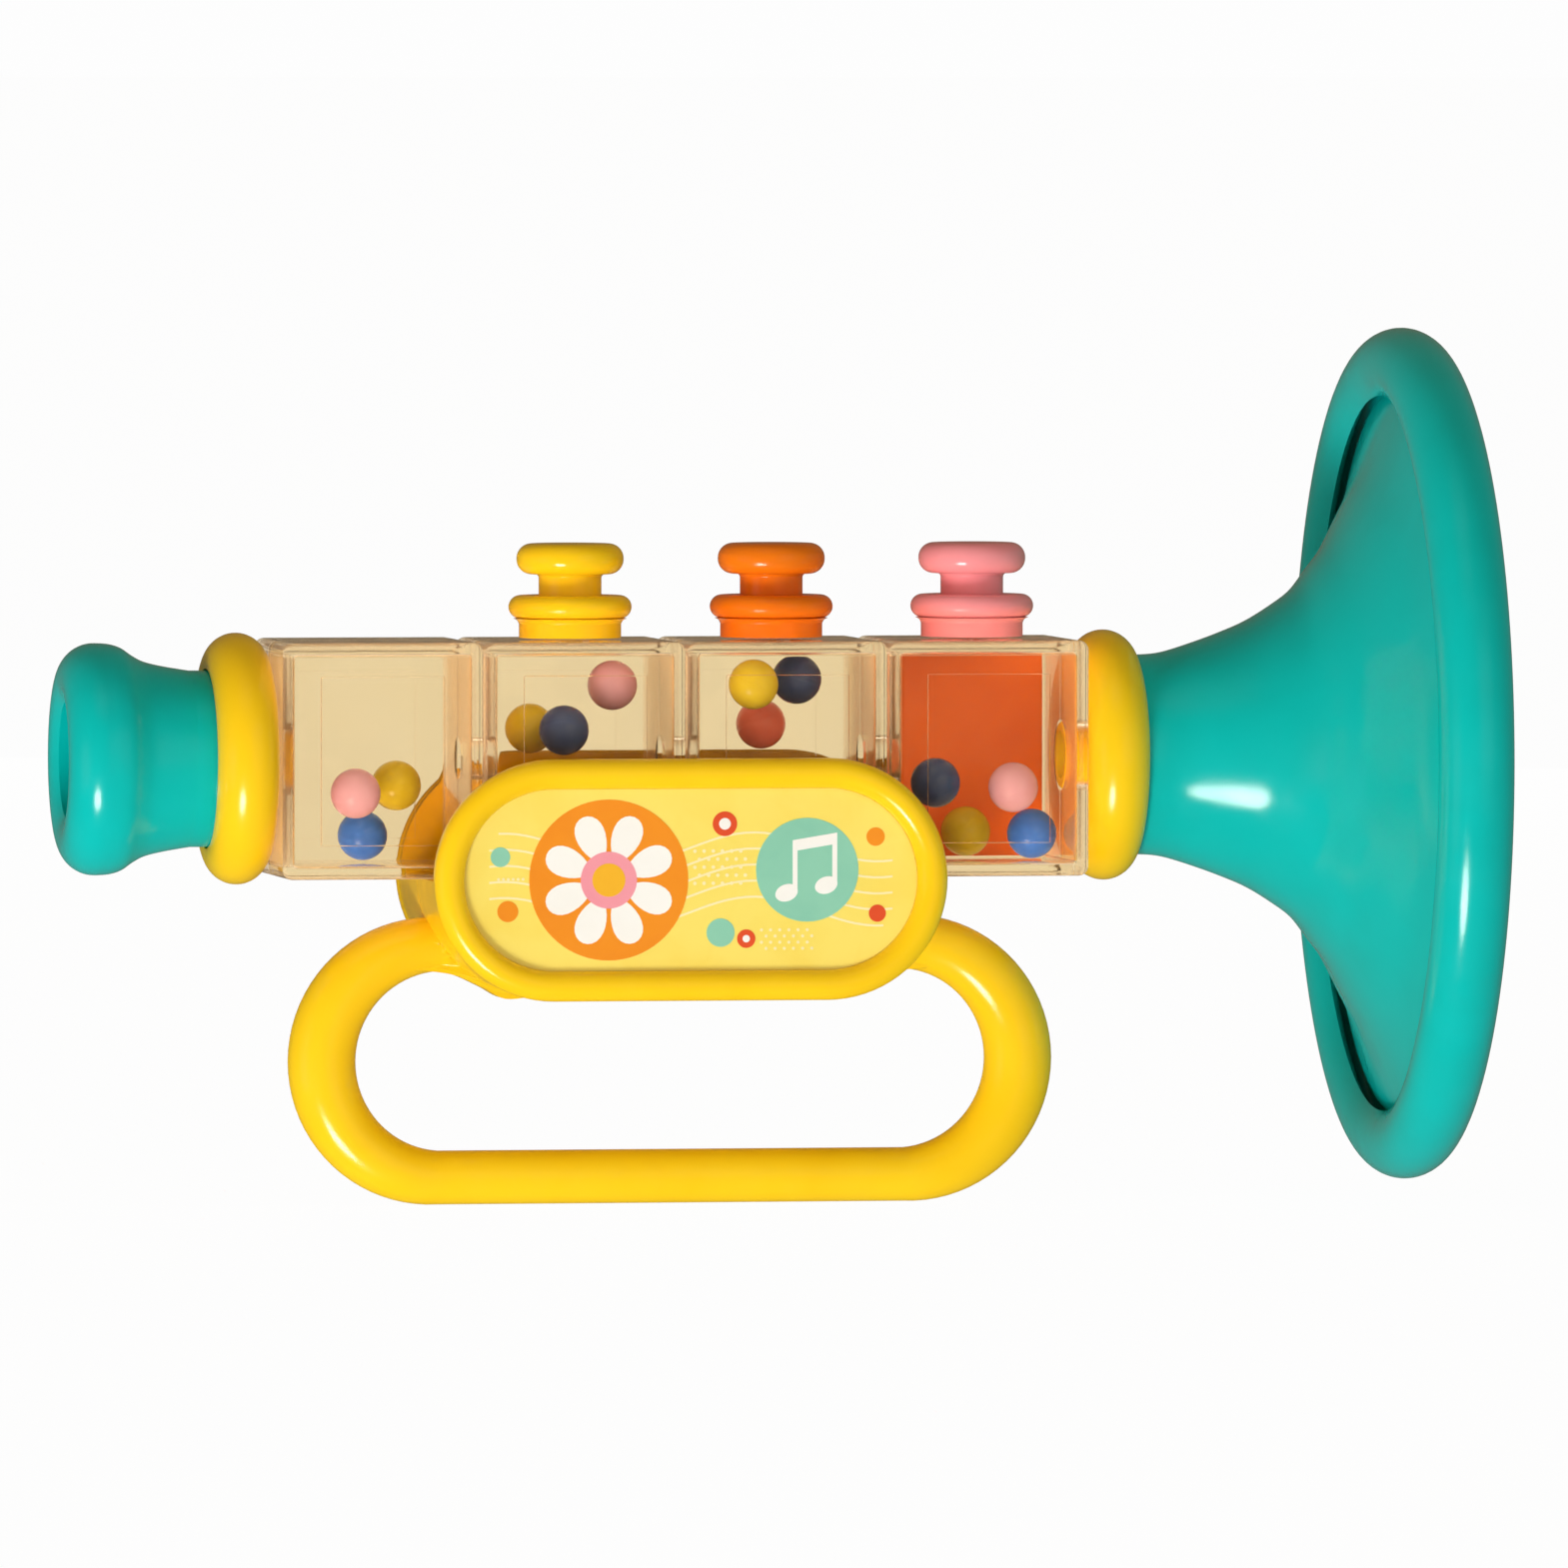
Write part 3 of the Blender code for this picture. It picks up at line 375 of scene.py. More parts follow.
def brushed_surface():
    """Drawn or plated metal: fine streaks along one direction."""
    group = bpy.data.node_groups.new("brushed_surface", "ShaderNodeTree")
    socket(group, "INPUT", "NodeSocketColor", "Colour", (0.6, 0.6, 0.6, 1))
    socket(group, "INPUT", "NodeSocketVector", "Streaks", (900.0, 900.0, 60.0))
    socket(group, "OUTPUT", "NodeSocketColor", "Colour")
    socket(group, "OUTPUT", "NodeSocketFloat", "Roughness")
    socket(group, "OUTPUT", "NodeSocketVector", "Normal")
    node = group.nodes.new
    taken, given = node("NodeGroupInput"), node("NodeGroupOutput")
    place, stretch = node("ShaderNodeTexCoord"), node("ShaderNodeVectorMath")
    stretch.operation = "MULTIPLY"
    streak = node("ShaderNodeTexNoise")
    dial(streak, Scale=1.0, Detail=3.0)
    rough = node("ShaderNodeMapRange")
    spread(rough, 0.3, 0.7, 0.20, 0.42)
    dark = colour_mix(group)
    dark.blend_type = "MULTIPLY"
    dial(dark, Factor=0.25)
    bump = node("ShaderNodeBump")
    dial(bump, Strength=0.12, Distance=0.00004)
    wire(group,
         (place.outputs["Object"], stretch.inputs[0]),
         (taken.outputs["Streaks"], stretch.inputs[1]),
         (stretch.outputs["Vector"], streak.inputs["Vector"]),
         (streak.outputs["Fac"], rough.inputs["Value"]),
         (streak.outputs["Fac"], bump.inputs["Height"]),
         (taken.outputs["Colour"], dark.inputs["A"]),
         (streak.outputs["Color"], dark.inputs["B"]),
         (dark.outputs["Result"], given.inputs["Colour"]),
         (rough.outputs["Result"], given.inputs["Roughness"]),
         (bump.outputs["Normal"], given.inputs["Normal"]))
    return group


BRUSHED = brushed_surface()


def metal(name, colour, streaks):
    """Bright plated metal."""
    made, tree, shader = new_material(name)
    dial(shader, Metallic=1.0)
    surface = tree.nodes.new("ShaderNodeGroup")
    surface.node_tree = BRUSHED
    dial(surface, Colour=(*colour, 1), Streaks=streaks)
    wire(tree,
         (surface.outputs["Colour"], shader.inputs["Base Color"]),
         (surface.outputs["Roughness"], shader.inputs["Roughness"]),
         (surface.outputs["Normal"], shader.inputs["Normal"]))
    return made


REED_METAL = metal("reed_metal", (0.74, 0.66, 0.44), (900.0, 900.0, 80.0))
tongue_low, tongue_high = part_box("reed_tongue")
tongue_mesh = bmesh.new()
rounded_box(tongue_mesh, tongue_low, tongue_high, 0.0002, 2)
tongue = new_piece("reed_tongue_strip", tongue_mesh)
fit(tongue, REED_METAL, "reed_tongue")

# YELLOW RINGS
# Two fat round rings of yellow plastic join the turned end pieces to the row of chambers.
# Each has a spigot that enters the end wall, and a socket for the mouthpiece or the bell.
YELLOW = plastic("yellow_moulding", (0.975, 0.620, 0.010), (0.950, 0.560, 0.006), gloss=0.17)
RING_MIDDLE = 0.0154
RING_TUBE = 0.0050
SPIGOT = 0.0055
SPIGOT_EDGE = 0.0003
RING_BORE = 0.0039
BELL_NECK = 0.0163
GAP = 0.0003


def make_ring(name, node, neck, direction):
    """A round ring, its spigot and its socket."""
    socket_radius = neck + GAP
    start = math.degrees(math.acos((socket_radius - RING_MIDDLE) / RING_TUBE))
    middle = (RING_MIDDLE, GAP + RING_TUBE)
    line = arc(middle, RING_TUBE, start, -90, 30)
    line += [(SPIGOT, GAP), (SPIGOT, -CHAMBER_WALL + SPIGOT_EDGE), (SPIGOT - SPIGOT_EDGE, -CHAMBER_WALL)]
    line += [(RING_BORE, -CHAMBER_WALL), (RING_BORE, middle[1]), (socket_radius, middle[1])]
    low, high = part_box(node)
    end = high.x - CHAMBER_WALL if direction < 0 else low.x + CHAMBER_WALL
    return fit(turned(name, line, facing(end, direction)), YELLOW, node)


make_ring("mouthpiece_ring", "mouthpiece_collar", NECK_RADIUS, -1)
make_ring("bell_ring", "bell_collar", BELL_NECK, 1)

# CLEAR CHAMBERS
# Four boxes in a row, each moulded as a front and a rear half that are welded on the middle plane. Their
# windows are polished clear and have a shallow step, and the walls, floors and roofs are slightly satin.
# Round holes between them let the breath through; the end ones take the rings' spigots.
AIR_HOLE = 0.0035
OUTER_ROUND = 0.0016
INNER_ROUND = 0.0007
PANE_SIDE = 0.0045
PANE_END = 0.0036
PANE_DEPTH = 0.0003
PANE_ROUND = 0.0002
CUT_PAST = 0.004
WINDOW_FACING = 0.7
WINDOW_TINT = (0.900, 0.800, 0.600)
WALL_TINT = (0.960, 0.770, 0.540)
THIN_SHADE = (0.90, 0.84, 0.82)
# The rear shells let less lamp light through than the same plastic in front: a painted deeper shadow on the
# rear handle half behind them.
DEEP_SHADE = (0.74, 0.68, 0.68)


def make_clear(name, tint, clearness, low_gloss, high_gloss, shade):
    """Clear tinted plastic with tiny ripples and a few dull wipes; less clearness is a satin haze."""
    made, tree, shader = new_material(name)
    dial(shader, Transmission_Weight=clearness, IOR=1.20)
    place = tree.nodes.new("ShaderNodeTexCoord")
    ripple = tree.nodes.new("ShaderNodeTexNoise")
    dial(ripple, Scale=130.0, Detail=2.0)
    bump = tree.nodes.new("ShaderNodeBump")
    dial(bump, Strength=0.10, Distance=0.0002)
    tone = colour_mix(tree)
    dial(tone, A=(*tint, 1), B=(tint[0], tint[1] * 0.985, tint[2] * 0.95, 1))
    rough = tree.nodes.new("ShaderNodeMapRange")
    spread(rough, 0.3, 0.8, low_gloss, high_gloss)
    wire(tree,
         (place.outputs["Object"], ripple.inputs["Vector"]),
         (ripple.outputs["Fac"], bump.inputs["Height"]),
         (ripple.outputs["Fac"], tone.inputs["Factor"]),
         (ripple.outputs["Fac"], rough.inputs["Value"]),
         (tone.outputs["Result"], shader.inputs["Base Color"]),
         (rough.outputs["Result"], shader.inputs["Roughness"]),
         (bump.outputs["Normal"], shader.inputs["Normal"]))
    lets_light = tree.nodes.new("ShaderNodeBsdfTransparent")
    dial(lets_light, Color=(*shade, 1))
    path = tree.nodes.new("ShaderNodeLightPath")
    blend = tree.nodes.new("ShaderNodeMixShader")
    wire(tree,
         (path.outputs["Is Shadow Ray"], blend.inputs[0]),
         (shader.outputs["BSDF"], blend.inputs[1]),
         (lets_light.outputs["BSDF"], blend.inputs[2]),
         (blend.outputs["Shader"], tree.nodes["Material Output"].inputs["Surface"]))
    return made


CLEAR = make_clear("clear_window_plastic", WINDOW_TINT, 1.0, 0.0, 0.06, THIN_SHADE)
# Same look as the front windows, but it paints a deeper shadow on what lies behind the rear shells.
CLEAR_REAR_DEEP_SHADOW = make_clear("clear_rear_plastic_deep_shadow", WINDOW_TINT, 1.0, 0.0, 0.06, DEEP_SHADE)
SATIN_WALL = make_clear("satin_wall_plastic", WALL_TINT, 0.82, 0.05, 0.12, THIN_SHADE)


def round_cut(name, radius, length, place, sides):
    """A round cutter along its own Z."""
    bm = bmesh.new()
    bmesh.ops.create_cone(bm, cap_ends=True, segments=sides, radius1=radius, radius2=radius,
                          depth=length, matrix=place)
    return hidden(bm, name)


def make_chamber_half(number, side):
    """One open half of a clear box: rounded edges, and a shallow stepped pane inside its window."""
    node = f"chamber_{number}_{'front' if side < 0 else 'rear'}"
    low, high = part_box(node)
    depth = high.y if side > 0 else -low.y
    outside, inside, pane, keep = bmesh.new(), bmesh.new(), bmesh.new(), bmesh.new()
    rounded_box(outside, (low.x, -depth, low.z), (high.x, depth, high.z), OUTER_ROUND, 5)
    wall = CHAMBER_WALL
    rounded_box(inside, (low.x + wall, -depth + wall, low.z + wall),
                (high.x - wall, depth - wall, high.z - wall), INNER_ROUND, 3)
    backed = number == 4 and side > 0
    pane_face = depth - wall + (-PANE_DEPTH if backed else PANE_DEPTH)
    rounded_box(pane, (low.x + wall + PANE_SIDE, -pane_face, low.z + wall + PANE_END),
                (high.x - wall - PANE_SIDE, pane_face, high.z - wall - PANE_END), PANE_ROUND, 2)
    seam = min(abs(low.y), abs(high.y))
    near, far = sorted((side * seam, side * (depth + CUT_PAST)))
    rounded_box(keep, (low.x - CUT_PAST, near, low.z - CUT_PAST),
                (high.x + CUT_PAST, far, high.z + CUT_PAST), 0.0, 1)
    half = new_piece(f"clear_{node}", outside)
    jobs = [("DIFFERENCE", hidden(inside, f"{node}_space")), ("DIFFERENCE", hidden(pane, f"{node}_pane")),
            ("INTERSECT", hidden(keep, f"{node}_keep"))]
    for x, row_end in ((low.x, number == 1), (high.x, number == 4)):
        radius = SPIGOT + GAP if row_end else AIR_HOLE
        jobs.append(("DIFFERENCE", round_cut(f"{node}_bore", radius, 2 * CUT_PAST, facing(x, 1), 64)))
    carve(half, *jobs)
    fit(smooth_but_sharp(half, 40), CLEAR if side < 0 else CLEAR_REAR_DEEP_SHADOW, node)
    half.data.materials.append(SATIN_WALL)
    for face in half.data.polygons:
        face.material_index = 1 if abs(face.normal.y) < WINDOW_FACING else 0


for number in (1, 2, 3, 4):
    make_chamber_half(number, -1)
    make_chamber_half(number, 1)

# ORANGE BACKING
# A thin satin sheet of orange plastic, cut to the inside of the chamber next to the bell.
# It is slid in against the rear wall before the two halves of the chamber are welded.
ORANGE_SHEET = plastic("orange_sheet", (0.98, 0.195, 0.020), (0.88, 0.150, 0.016), gloss=0.34, flow=90.0)
sheet_low, sheet_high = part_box("chamber_4_backing")
sheet_mesh = bmesh.new()
rounded_box(sheet_mesh, sheet_low, sheet_high, 0.0003, 2)
fit(new_piece("orange_backing_sheet", sheet_mesh), ORANGE_SHEET, "chamber_4_backing")

# BEADS
# Thirteen loose glossy balls that rattle in the chambers, in pink, yellow, blue, navy and red plastic.
# Each is moulded in two halves with a fine parting line, and lies rolled its own way.
BEAD_STEPS = 48
PARTING_DIP = 0.00006
ROLL_LIMIT = 0.5
BEAD_COLOURS = {
    "pink": ((0.64, 0.35, 0.52), (0.58, 0.28, 0.43)),
    "yellow": ((0.60, 0.47, 0.018), (0.53, 0.39, 0.012)),
    "blue": ((0.058, 0.220, 0.960), (0.044, 0.170, 0.820)),
    "navy": ((0.034, 0.058, 0.185), (0.026, 0.044, 0.150)),
    "red": ((0.96, 0.225, 0.170), (0.84, 0.170, 0.130)),
}
BEAD_FINISH = {
    colour: plastic(f"bead_{colour}_gloss", *tones, gloss=0.16, grain=0.03, flow=160.0)
    for colour, tones in BEAD_COLOURS.items()
}
random.seed(7)


def make_bead(node):
    """A ball with a shallow parting line, rolled to a place of its own."""
    colour = node.split("_")[2]
    low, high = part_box(node)
    radius = (high.z - low.z) / 2
    line = []
    for step in range(BEAD_STEPS + 1):
        latitude = math.radians(90 - 180 * step / BEAD_STEPS)
        out = radius - (PARTING_DIP if step == BEAD_STEPS // 2 else 0.0)
        line.append((out * math.cos(latitude), out * math.sin(latitude)))
    line[0], line[-1] = (0, radius), (0, -radius)
    roll = [Matrix.Rotation(random.uniform(-ROLL_LIMIT, ROLL_LIMIT), 4, axis) for axis in "XY"]
    place = Matrix.Translation((low + high) / 2) @ (roll[0] @ roll[1])
    bead = turned(f"{node}_ball", line, place, steps=BEAD_STEPS, closed=False, sharp=60)
    return fit(bead, BEAD_FINISH[colour], node, f"loose_{node}")


for node in sorted(frame["nodes"]):
    if node.startswith("bead_"):
        make_bead(node)

# VALVES
# Three push buttons, yellow, orange and pink. Each has a flanged guide glued to the roof of its chamber,
# a hollow button whose lip keeps it in the guide, and a coil spring inside that pushes it back up.
ORANGE = plastic("orange_moulding", (0.880, 0.200, 0.006), (0.760, 0.130, 0.004), gloss=0.17)
PINK = plastic("pink_moulding", (0.930, 0.310, 0.340), (0.850, 0.240, 0.270), gloss=0.17)
SPRING_STEEL = metal("spring_steel", (0.62, 0.62, 0.60), (600.0, 600.0, 600.0))
VALVE_COLOURS = ((YELLOW, "yellow_plastic"), (ORANGE, "orange_plastic"), (PINK, "pink_plastic"))
CAP_ROUND = 0.0024
CAP_THICK = 0.0050
CAP_ROOF = 0.0026
CAP_DISH = 0.00025
STEM_RADIUS = 0.0051
STEM_FILLET = 0.0006
STEM_BORE = 0.00375
FOOT_LIP = 0.0061
FOOT_LIP_TOP = 0.0012
FOOT_LIP_EDGE = 0.0002
GUIDE_BASE = 0.0083
GUIDE_EDGE = 0.0003
GUIDE_EASE = ((0.0009, 0.00002), (0.0003, -0.0003), (0.0, -0.0009))
FLANGE_THICK = 0.0038
FLANGE_TURN = -78
GUIDE_CAVITY = 0.0066
GUIDE_ROOF = 0.0018
SPRING_WIRE = 0.0003
SPRING_TURNS = 7
SPRING_END_TURNS = 0.9


def make_guide(index, finish):
    """The flanged guide round the stem."""
    node = f"valve_{index}_guide"
    low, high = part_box(node)
    middle = (low + high) / 2
    height = high.z - low.z
    flange_radius = (high.x - low.x) / 2
    edge_round = FLANGE_THICK / 2
    hole = STEM_RADIUS + GAP
    line = [(hole, height - GUIDE_EDGE), (hole + GUIDE_EDGE, height)]
    line += arc((flange_radius - edge_round, height - edge_round), edge_round, 90, FLANGE_TURN, 20)
    line += smooth_line([(GUIDE_BASE + out, height - FLANGE_THICK + rise) for out, rise in GUIDE_EASE], 3)
    line += [(GUIDE_BASE, 0), (GUIDE_CAVITY, 0)]
    line += [(GUIDE_CAVITY, height - GUIDE_ROOF), (hole, height - GUIDE_ROOF)]
    place = Matrix.Translation((middle.x, middle.y, low.z))
    return fit(turned(f"valve_guide_{index}", line, place), finish, node)


def make_button(index, finish):
    """The hollow push button: a fat round cap on a stem, with a lip at its foot."""
    node = f"valve_{index}_button"
    low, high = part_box(node)
    middle = (low + high) / 2
    top = high.z - low.z
    cap = (high.x - low.x) / 2
    cap_low = top - CAP_THICK
    line = [(0, top - CAP_DISH), (cap * 0.35, top - CAP_DISH * 0.8), (cap * 0.58, top - CAP_DISH * 0.15)]
    line += arc((cap - CAP_ROUND, top - CAP_ROUND), CAP_ROUND, 90, 0, 12)
    line += arc((cap - CAP_ROUND, cap_low + CAP_ROUND), CAP_ROUND, 0, -90, 12)
    line += arc((STEM_RADIUS + STEM_FILLET, cap_low - STEM_FILLET), STEM_FILLET, 90, 180, 5)
    line += [(STEM_RADIUS, FOOT_LIP_TOP), (FOOT_LIP - FOOT_LIP_EDGE, FOOT_LIP_TOP)]
    line += [(FOOT_LIP, FOOT_LIP_TOP - FOOT_LIP_EDGE), (FOOT_LIP, 0)]
    line += [(STEM_BORE, 0), (STEM_BORE, top - CAP_ROOF), (0, top - CAP_ROOF)]
    place = Matrix.Translation((middle.x, middle.y, low.z))
    button = turned(f"valve_button_{index}", line, place, closed=False)
    return fit(button, finish, node, f"valve_{index}")


def make_spring(index):
    """The return spring, a coil of round wire with closed ends."""
    node = f"valve_{index}_spring"
    low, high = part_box(node)
    middle = (low + high) / 2
    coil_radius = (high.x - low.x) / 2 - SPRING_WIRE
    turns, per_turn, sides = SPRING_TURNS, 28, 10
    ends = SPRING_END_TURNS
    bottom, top = low.z + SPRING_WIRE, high.z - SPRING_WIRE
    count = turns * per_turn
    bm = bmesh.new()
    rings = []
    for step in range(count + 1):
        share = step / count
        rise = min(max((share * turns - ends) / (turns - 2 * ends), 0), 1)
        settle = 2 * SPRING_WIRE * (min(share * turns, ends) - min((1 - share) * turns, ends) + ends) / ends
        turn = 2 * math.pi * turns * share
        out = Vector((math.cos(turn), math.sin(turn), 0))
        height = bottom + (top - bottom - 4 * SPRING_WIRE) * rise + settle
        centre = Vector((middle.x, middle.y, height)) + out * coil_radius
        ring = []
        for side in range(sides):
            around = 2 * math.pi * side / sides
            offset = out * math.cos(around) + Vector((0, 0, math.sin(around)))
            ring.append(bm.verts.new(centre + offset * SPRING_WIRE))
        rings.append(ring)
    skin(bm, rings)
    bm.faces.new(rings[0])
    bm.faces.new(rings[-1])
    spring = fit(new_piece(f"valve_coil_{index}", bm, sharp=50), SPRING_STEEL, node)
    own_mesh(spring)


for index, (finish, slot) in enumerate(VALVE_COLOURS, 1):
    make_guide(index, finish)
    make_button(index, finish)
    make_spring(index)

# BELL
# A thin teal flare whose edge rolls outward and back into a fat open curl, moulded in one piece.
# It is turned from its half section, and its neck is pressed into the second yellow ring.
BELL_WALL = 0.0022
CURL_ROUND = 0.0061
CURL_MEETING = 14
CURL_END = -145
LAND_HALF_TURN = 16.5
LAND_DEPTH = 0.00025
FLARE = (
    (0.00, 0.000), (0.11, 0.000), (0.19, 0.009), (0.29, 0.043), (0.39, 0.084), (0.48, 0.128),
    (0.57, 0.190), (0.64, 0.250), (0.70, 0.335), (0.76, 0.425), (0.83, 0.570), (0.885, 0.690),
    (0.93, 0.830), (0.975, 1.000),
)
bell_low, bell_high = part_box("bell")
ROW_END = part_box("bell_collar")[0].x + CHAMBER_WALL
CURL_MIDDLE = ((bell_high.z - bell_low.z) / 2 - CURL_ROUND, bell_high.x - ROW_END + LAND_DEPTH - CURL_ROUND)


def inward(line, depth):
    """The same line moved sideways by the wall."""
    moved = []
    last = len(line) - 1
    for index, (radius, height) in enumerate(line):
        before, after = Vector(line[max(index - 1, 0)]), Vector(line[min(index + 1, last)])
        along = (after - before).normalized()
        moved.append((radius - along.y * depth, height + along.x * depth))
    return moved


def bell_line():
    """The bell's half section: flare, curl and inside."""
    curl_inside = CURL_ROUND - BELL_WALL
    meeting = CURL_MIDDLE[0] - curl_inside * math.cos(math.radians(CURL_MEETING))
    tail = bell_low.x - ROW_END
    length = CURL_MIDDLE[1] - tail
    outer = smooth_line([
        (BELL_NECK + (meeting - BELL_NECK) * height, tail + length * along) for along, height in FLARE
    ], 5)
    inner = inward(outer, BELL_WALL)
    start = 180 - CURL_MEETING
    curl_in = arc(CURL_MIDDLE, curl_inside, start, CURL_END, 26)
    curl_out = arc(CURL_MIDDLE, CURL_ROUND, CURL_END, 90 - LAND_HALF_TURN, 34)
    curl_out += arc(CURL_MIDDLE, CURL_ROUND, 90 + LAND_HALF_TURN, start, 10)
    return outer[:-1] + curl_in + curl_out + inner[:-2][::-1]


bell = turned("bell_moulding", bell_line(), facing(ROW_END, 1), steps=144, sharp=38)
fit(bell, TEAL, "bell")

# HANDLE
# Two yellow half shells screwed together from behind. Together they make a finger loop, a ribbed drum
# that clamps the row of chambers, and an oval badge plate with a fat round frame on each side.
SEAT_GAP = 0.0003
CHEEK_THICK = 0.0022
FRAME_TUBE = 0.00245
FRAME_PROUD = 0.0008
LOOP_HALF_LENGTH = 0.0573
LOOP_HEIGHT = 0.0379
LOOP_BAR = 0.00438
LOOP_BEND = 0.0055
BADGE_LENGTH = 0.0840
BADGE_HEIGHT = 0.0392
DRUM_INSET = 0.0003
DRUM_WALL = 0.0022
WEB_HALF = 0.0030
RIB_SPACING = 0.0210
RIB_HALF = 0.0008
RIB_FOOT = 0.0009
BOSS_RADIUS = 0.0038
BITE = 0.0006
SEAM_HALF = 0.00015
SEAM_PAST = 0.004
HOLE_PAST = 0.003
HOLE_OVERLAP = 0.001
CUT_LONG = 0.1
CUT_WIDE = 0.05
CUT_HIGH = 0.12
WEB_LINE = ((0.00, 0.05), (0.26, -0.08), (0.46, 0.39), (0.70, 0.88), (1.00, 1.08))
row_low, row_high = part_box("chamber_2_rear")
BADGE_DROP = 0.0192
BADGE_Z = AXIS_Z - BADGE_DROP
SEAT_Z = row_low.z - SEAT_GAP
CHEEK_INNER = row_high.y + SEAT_GAP
CHEEK_OUTER = CHEEK_INNER + CHEEK_THICK
DRUM_SCREW_X = 0.0280
DRUM_SCREW = {"head": 0.0024, "seat": 0.0040, "hole": 0.0015, "pilot": 0.0130, "shank": 0.0012}
LOOP_SCREW = {"head": 0.0019, "seat": 0.0024, "hole": 0.0013, "pilot": 0.0060, "shank": 0.0010}
HANDLE_SCREWS = (
    (-DRUM_SCREW_X, LOOP_HEIGHT, DRUM_SCREW), (DRUM_SCREW_X, LOOP_HEIGHT, DRUM_SCREW),
    (-LOOP_HALF_LENGTH, LOOP_HEIGHT / 2, LOOP_SCREW), (LOOP_HALF_LENGTH, LOOP_HEIGHT / 2, LOOP_SCREW),
)


def stadium(half_length, radius, middle_z, count):
    """A long outline with two round ends, as (x, z) points."""
    reach = half_length - radius
    return arc((reach, middle_z), radius, -90, 90, count) + arc((-reach, middle_z), radius, 90, 270, count)


def slab(name, outline, near_y, far_y, edge=0.0):
    """A flat outline given its thickness along Y, with a rounded edge on its far face."""
    bm = bmesh.new()
    layers = [(near_y, 0.0)]
    if edge:
        sign = 1 if far_y > near_y else -1
        for step in range(5):
            turn = math.radians(90 * step / 4)
            layers.append((far_y - sign * edge * (1 - math.sin(turn)), edge * (1 - math.cos(turn))))
    else:
        layers.append((far_y, 0.0))
    rings = []
    middle = Vector((sum(x for x, z in outline) / len(outline), sum(z for x, z in outline) / len(outline)))
    count = len(outline)
    for y, pulled in layers:
        ring = []
        for index, (x, z) in enumerate(outline):
            before, after = Vector(outline[index - 1]), Vector(outline[(index + 1) % count])
            along = (after - before).normalized()
            side = Vector((-along.y, along.x))
            if side.dot(middle - Vector((x, z))) < 0:
                side = -side
            ring.append(bm.verts.new((x + side.x * pulled, y, z + side.y * pulled)))
        rings.append(ring)
    skin(bm, rings)
    bm.faces.new(rings[0])
    bm.faces.new(rings[-1])
    return new_piece(name, bm)


def tube(name, points, radii, sides):
    """A closed round tube along points that lie in one plane across Y."""
    bm = bmesh.new()
    rings = []
    count = len(points)
    for index, point in enumerate(points):
        point = Vector(point)
        along = (Vector(points[(index + 1) % count]) - Vector(points[index - 1])).normalized()
        across = along.cross(Vector((0, 1, 0))).normalized()
        ring = []
        for side in range(sides):
            turn = 2 * math.pi * side / sides
            offset = across * math.cos(turn) + Vector((0, math.sin(turn), 0))
            ring.append(bm.verts.new(point + offset * radii[index]))
        rings.append(ring)
    skin(bm, rings + rings[:1])
    return new_piece(name, bm)


def loop_path(count):
    """Centre line of the finger loop and its radius along the way."""
    end = LOOP_HEIGHT / 2
    points, radii = [], []
    for sign, start in ((1, -90), (-1, 90)):
        reach = sign * (LOOP_HALF_LENGTH - end)
        for x, z in arc((reach, end), end, start, start + 180, count):
            points.append((x, 0, z))
            radii.append(LOOP_BAR + (LOOP_BEND - LOOP_BAR) * abs(x - reach) / end)
    return points, radii


def web_outline(sign):
    """The web that eases the loop's upper bar into the drum's lower corner."""
    drum_radius = BADGE_HEIGHT / 2
    corner = BADGE_LENGTH / 2 - drum_radius
    drum_low = BADGE_Z - drum_radius
    bar_low = LOOP_HEIGHT - LOOP_BAR
    line = smooth_line([
        (corner + drum_radius * length, drum_low + (bar_low - drum_low) * height)
        for length, height in WEB_LINE
    ], 6)
    line += [(corner + drum_radius, LOOP_HEIGHT), (corner, LOOP_HEIGHT)]
    return [(sign * x, z) for x, z in line]


def bore_along_y(name, radius, x, z, near, far):
    """A round cutter along Y."""
    near, far = sorted((near, far))
    place = Matrix.Translation((x, (near + far) / 2, z)) @ Matrix.Rotation(math.radians(90), 4, "X")
    return round_cut(name, radius, far - near, place, 40)


def block_cut(name, low, high):
    """A plain box cutter."""
    bm = bmesh.new()
    rounded_box(bm, low, high, 0.0, 1)
    return hidden(bm, name)


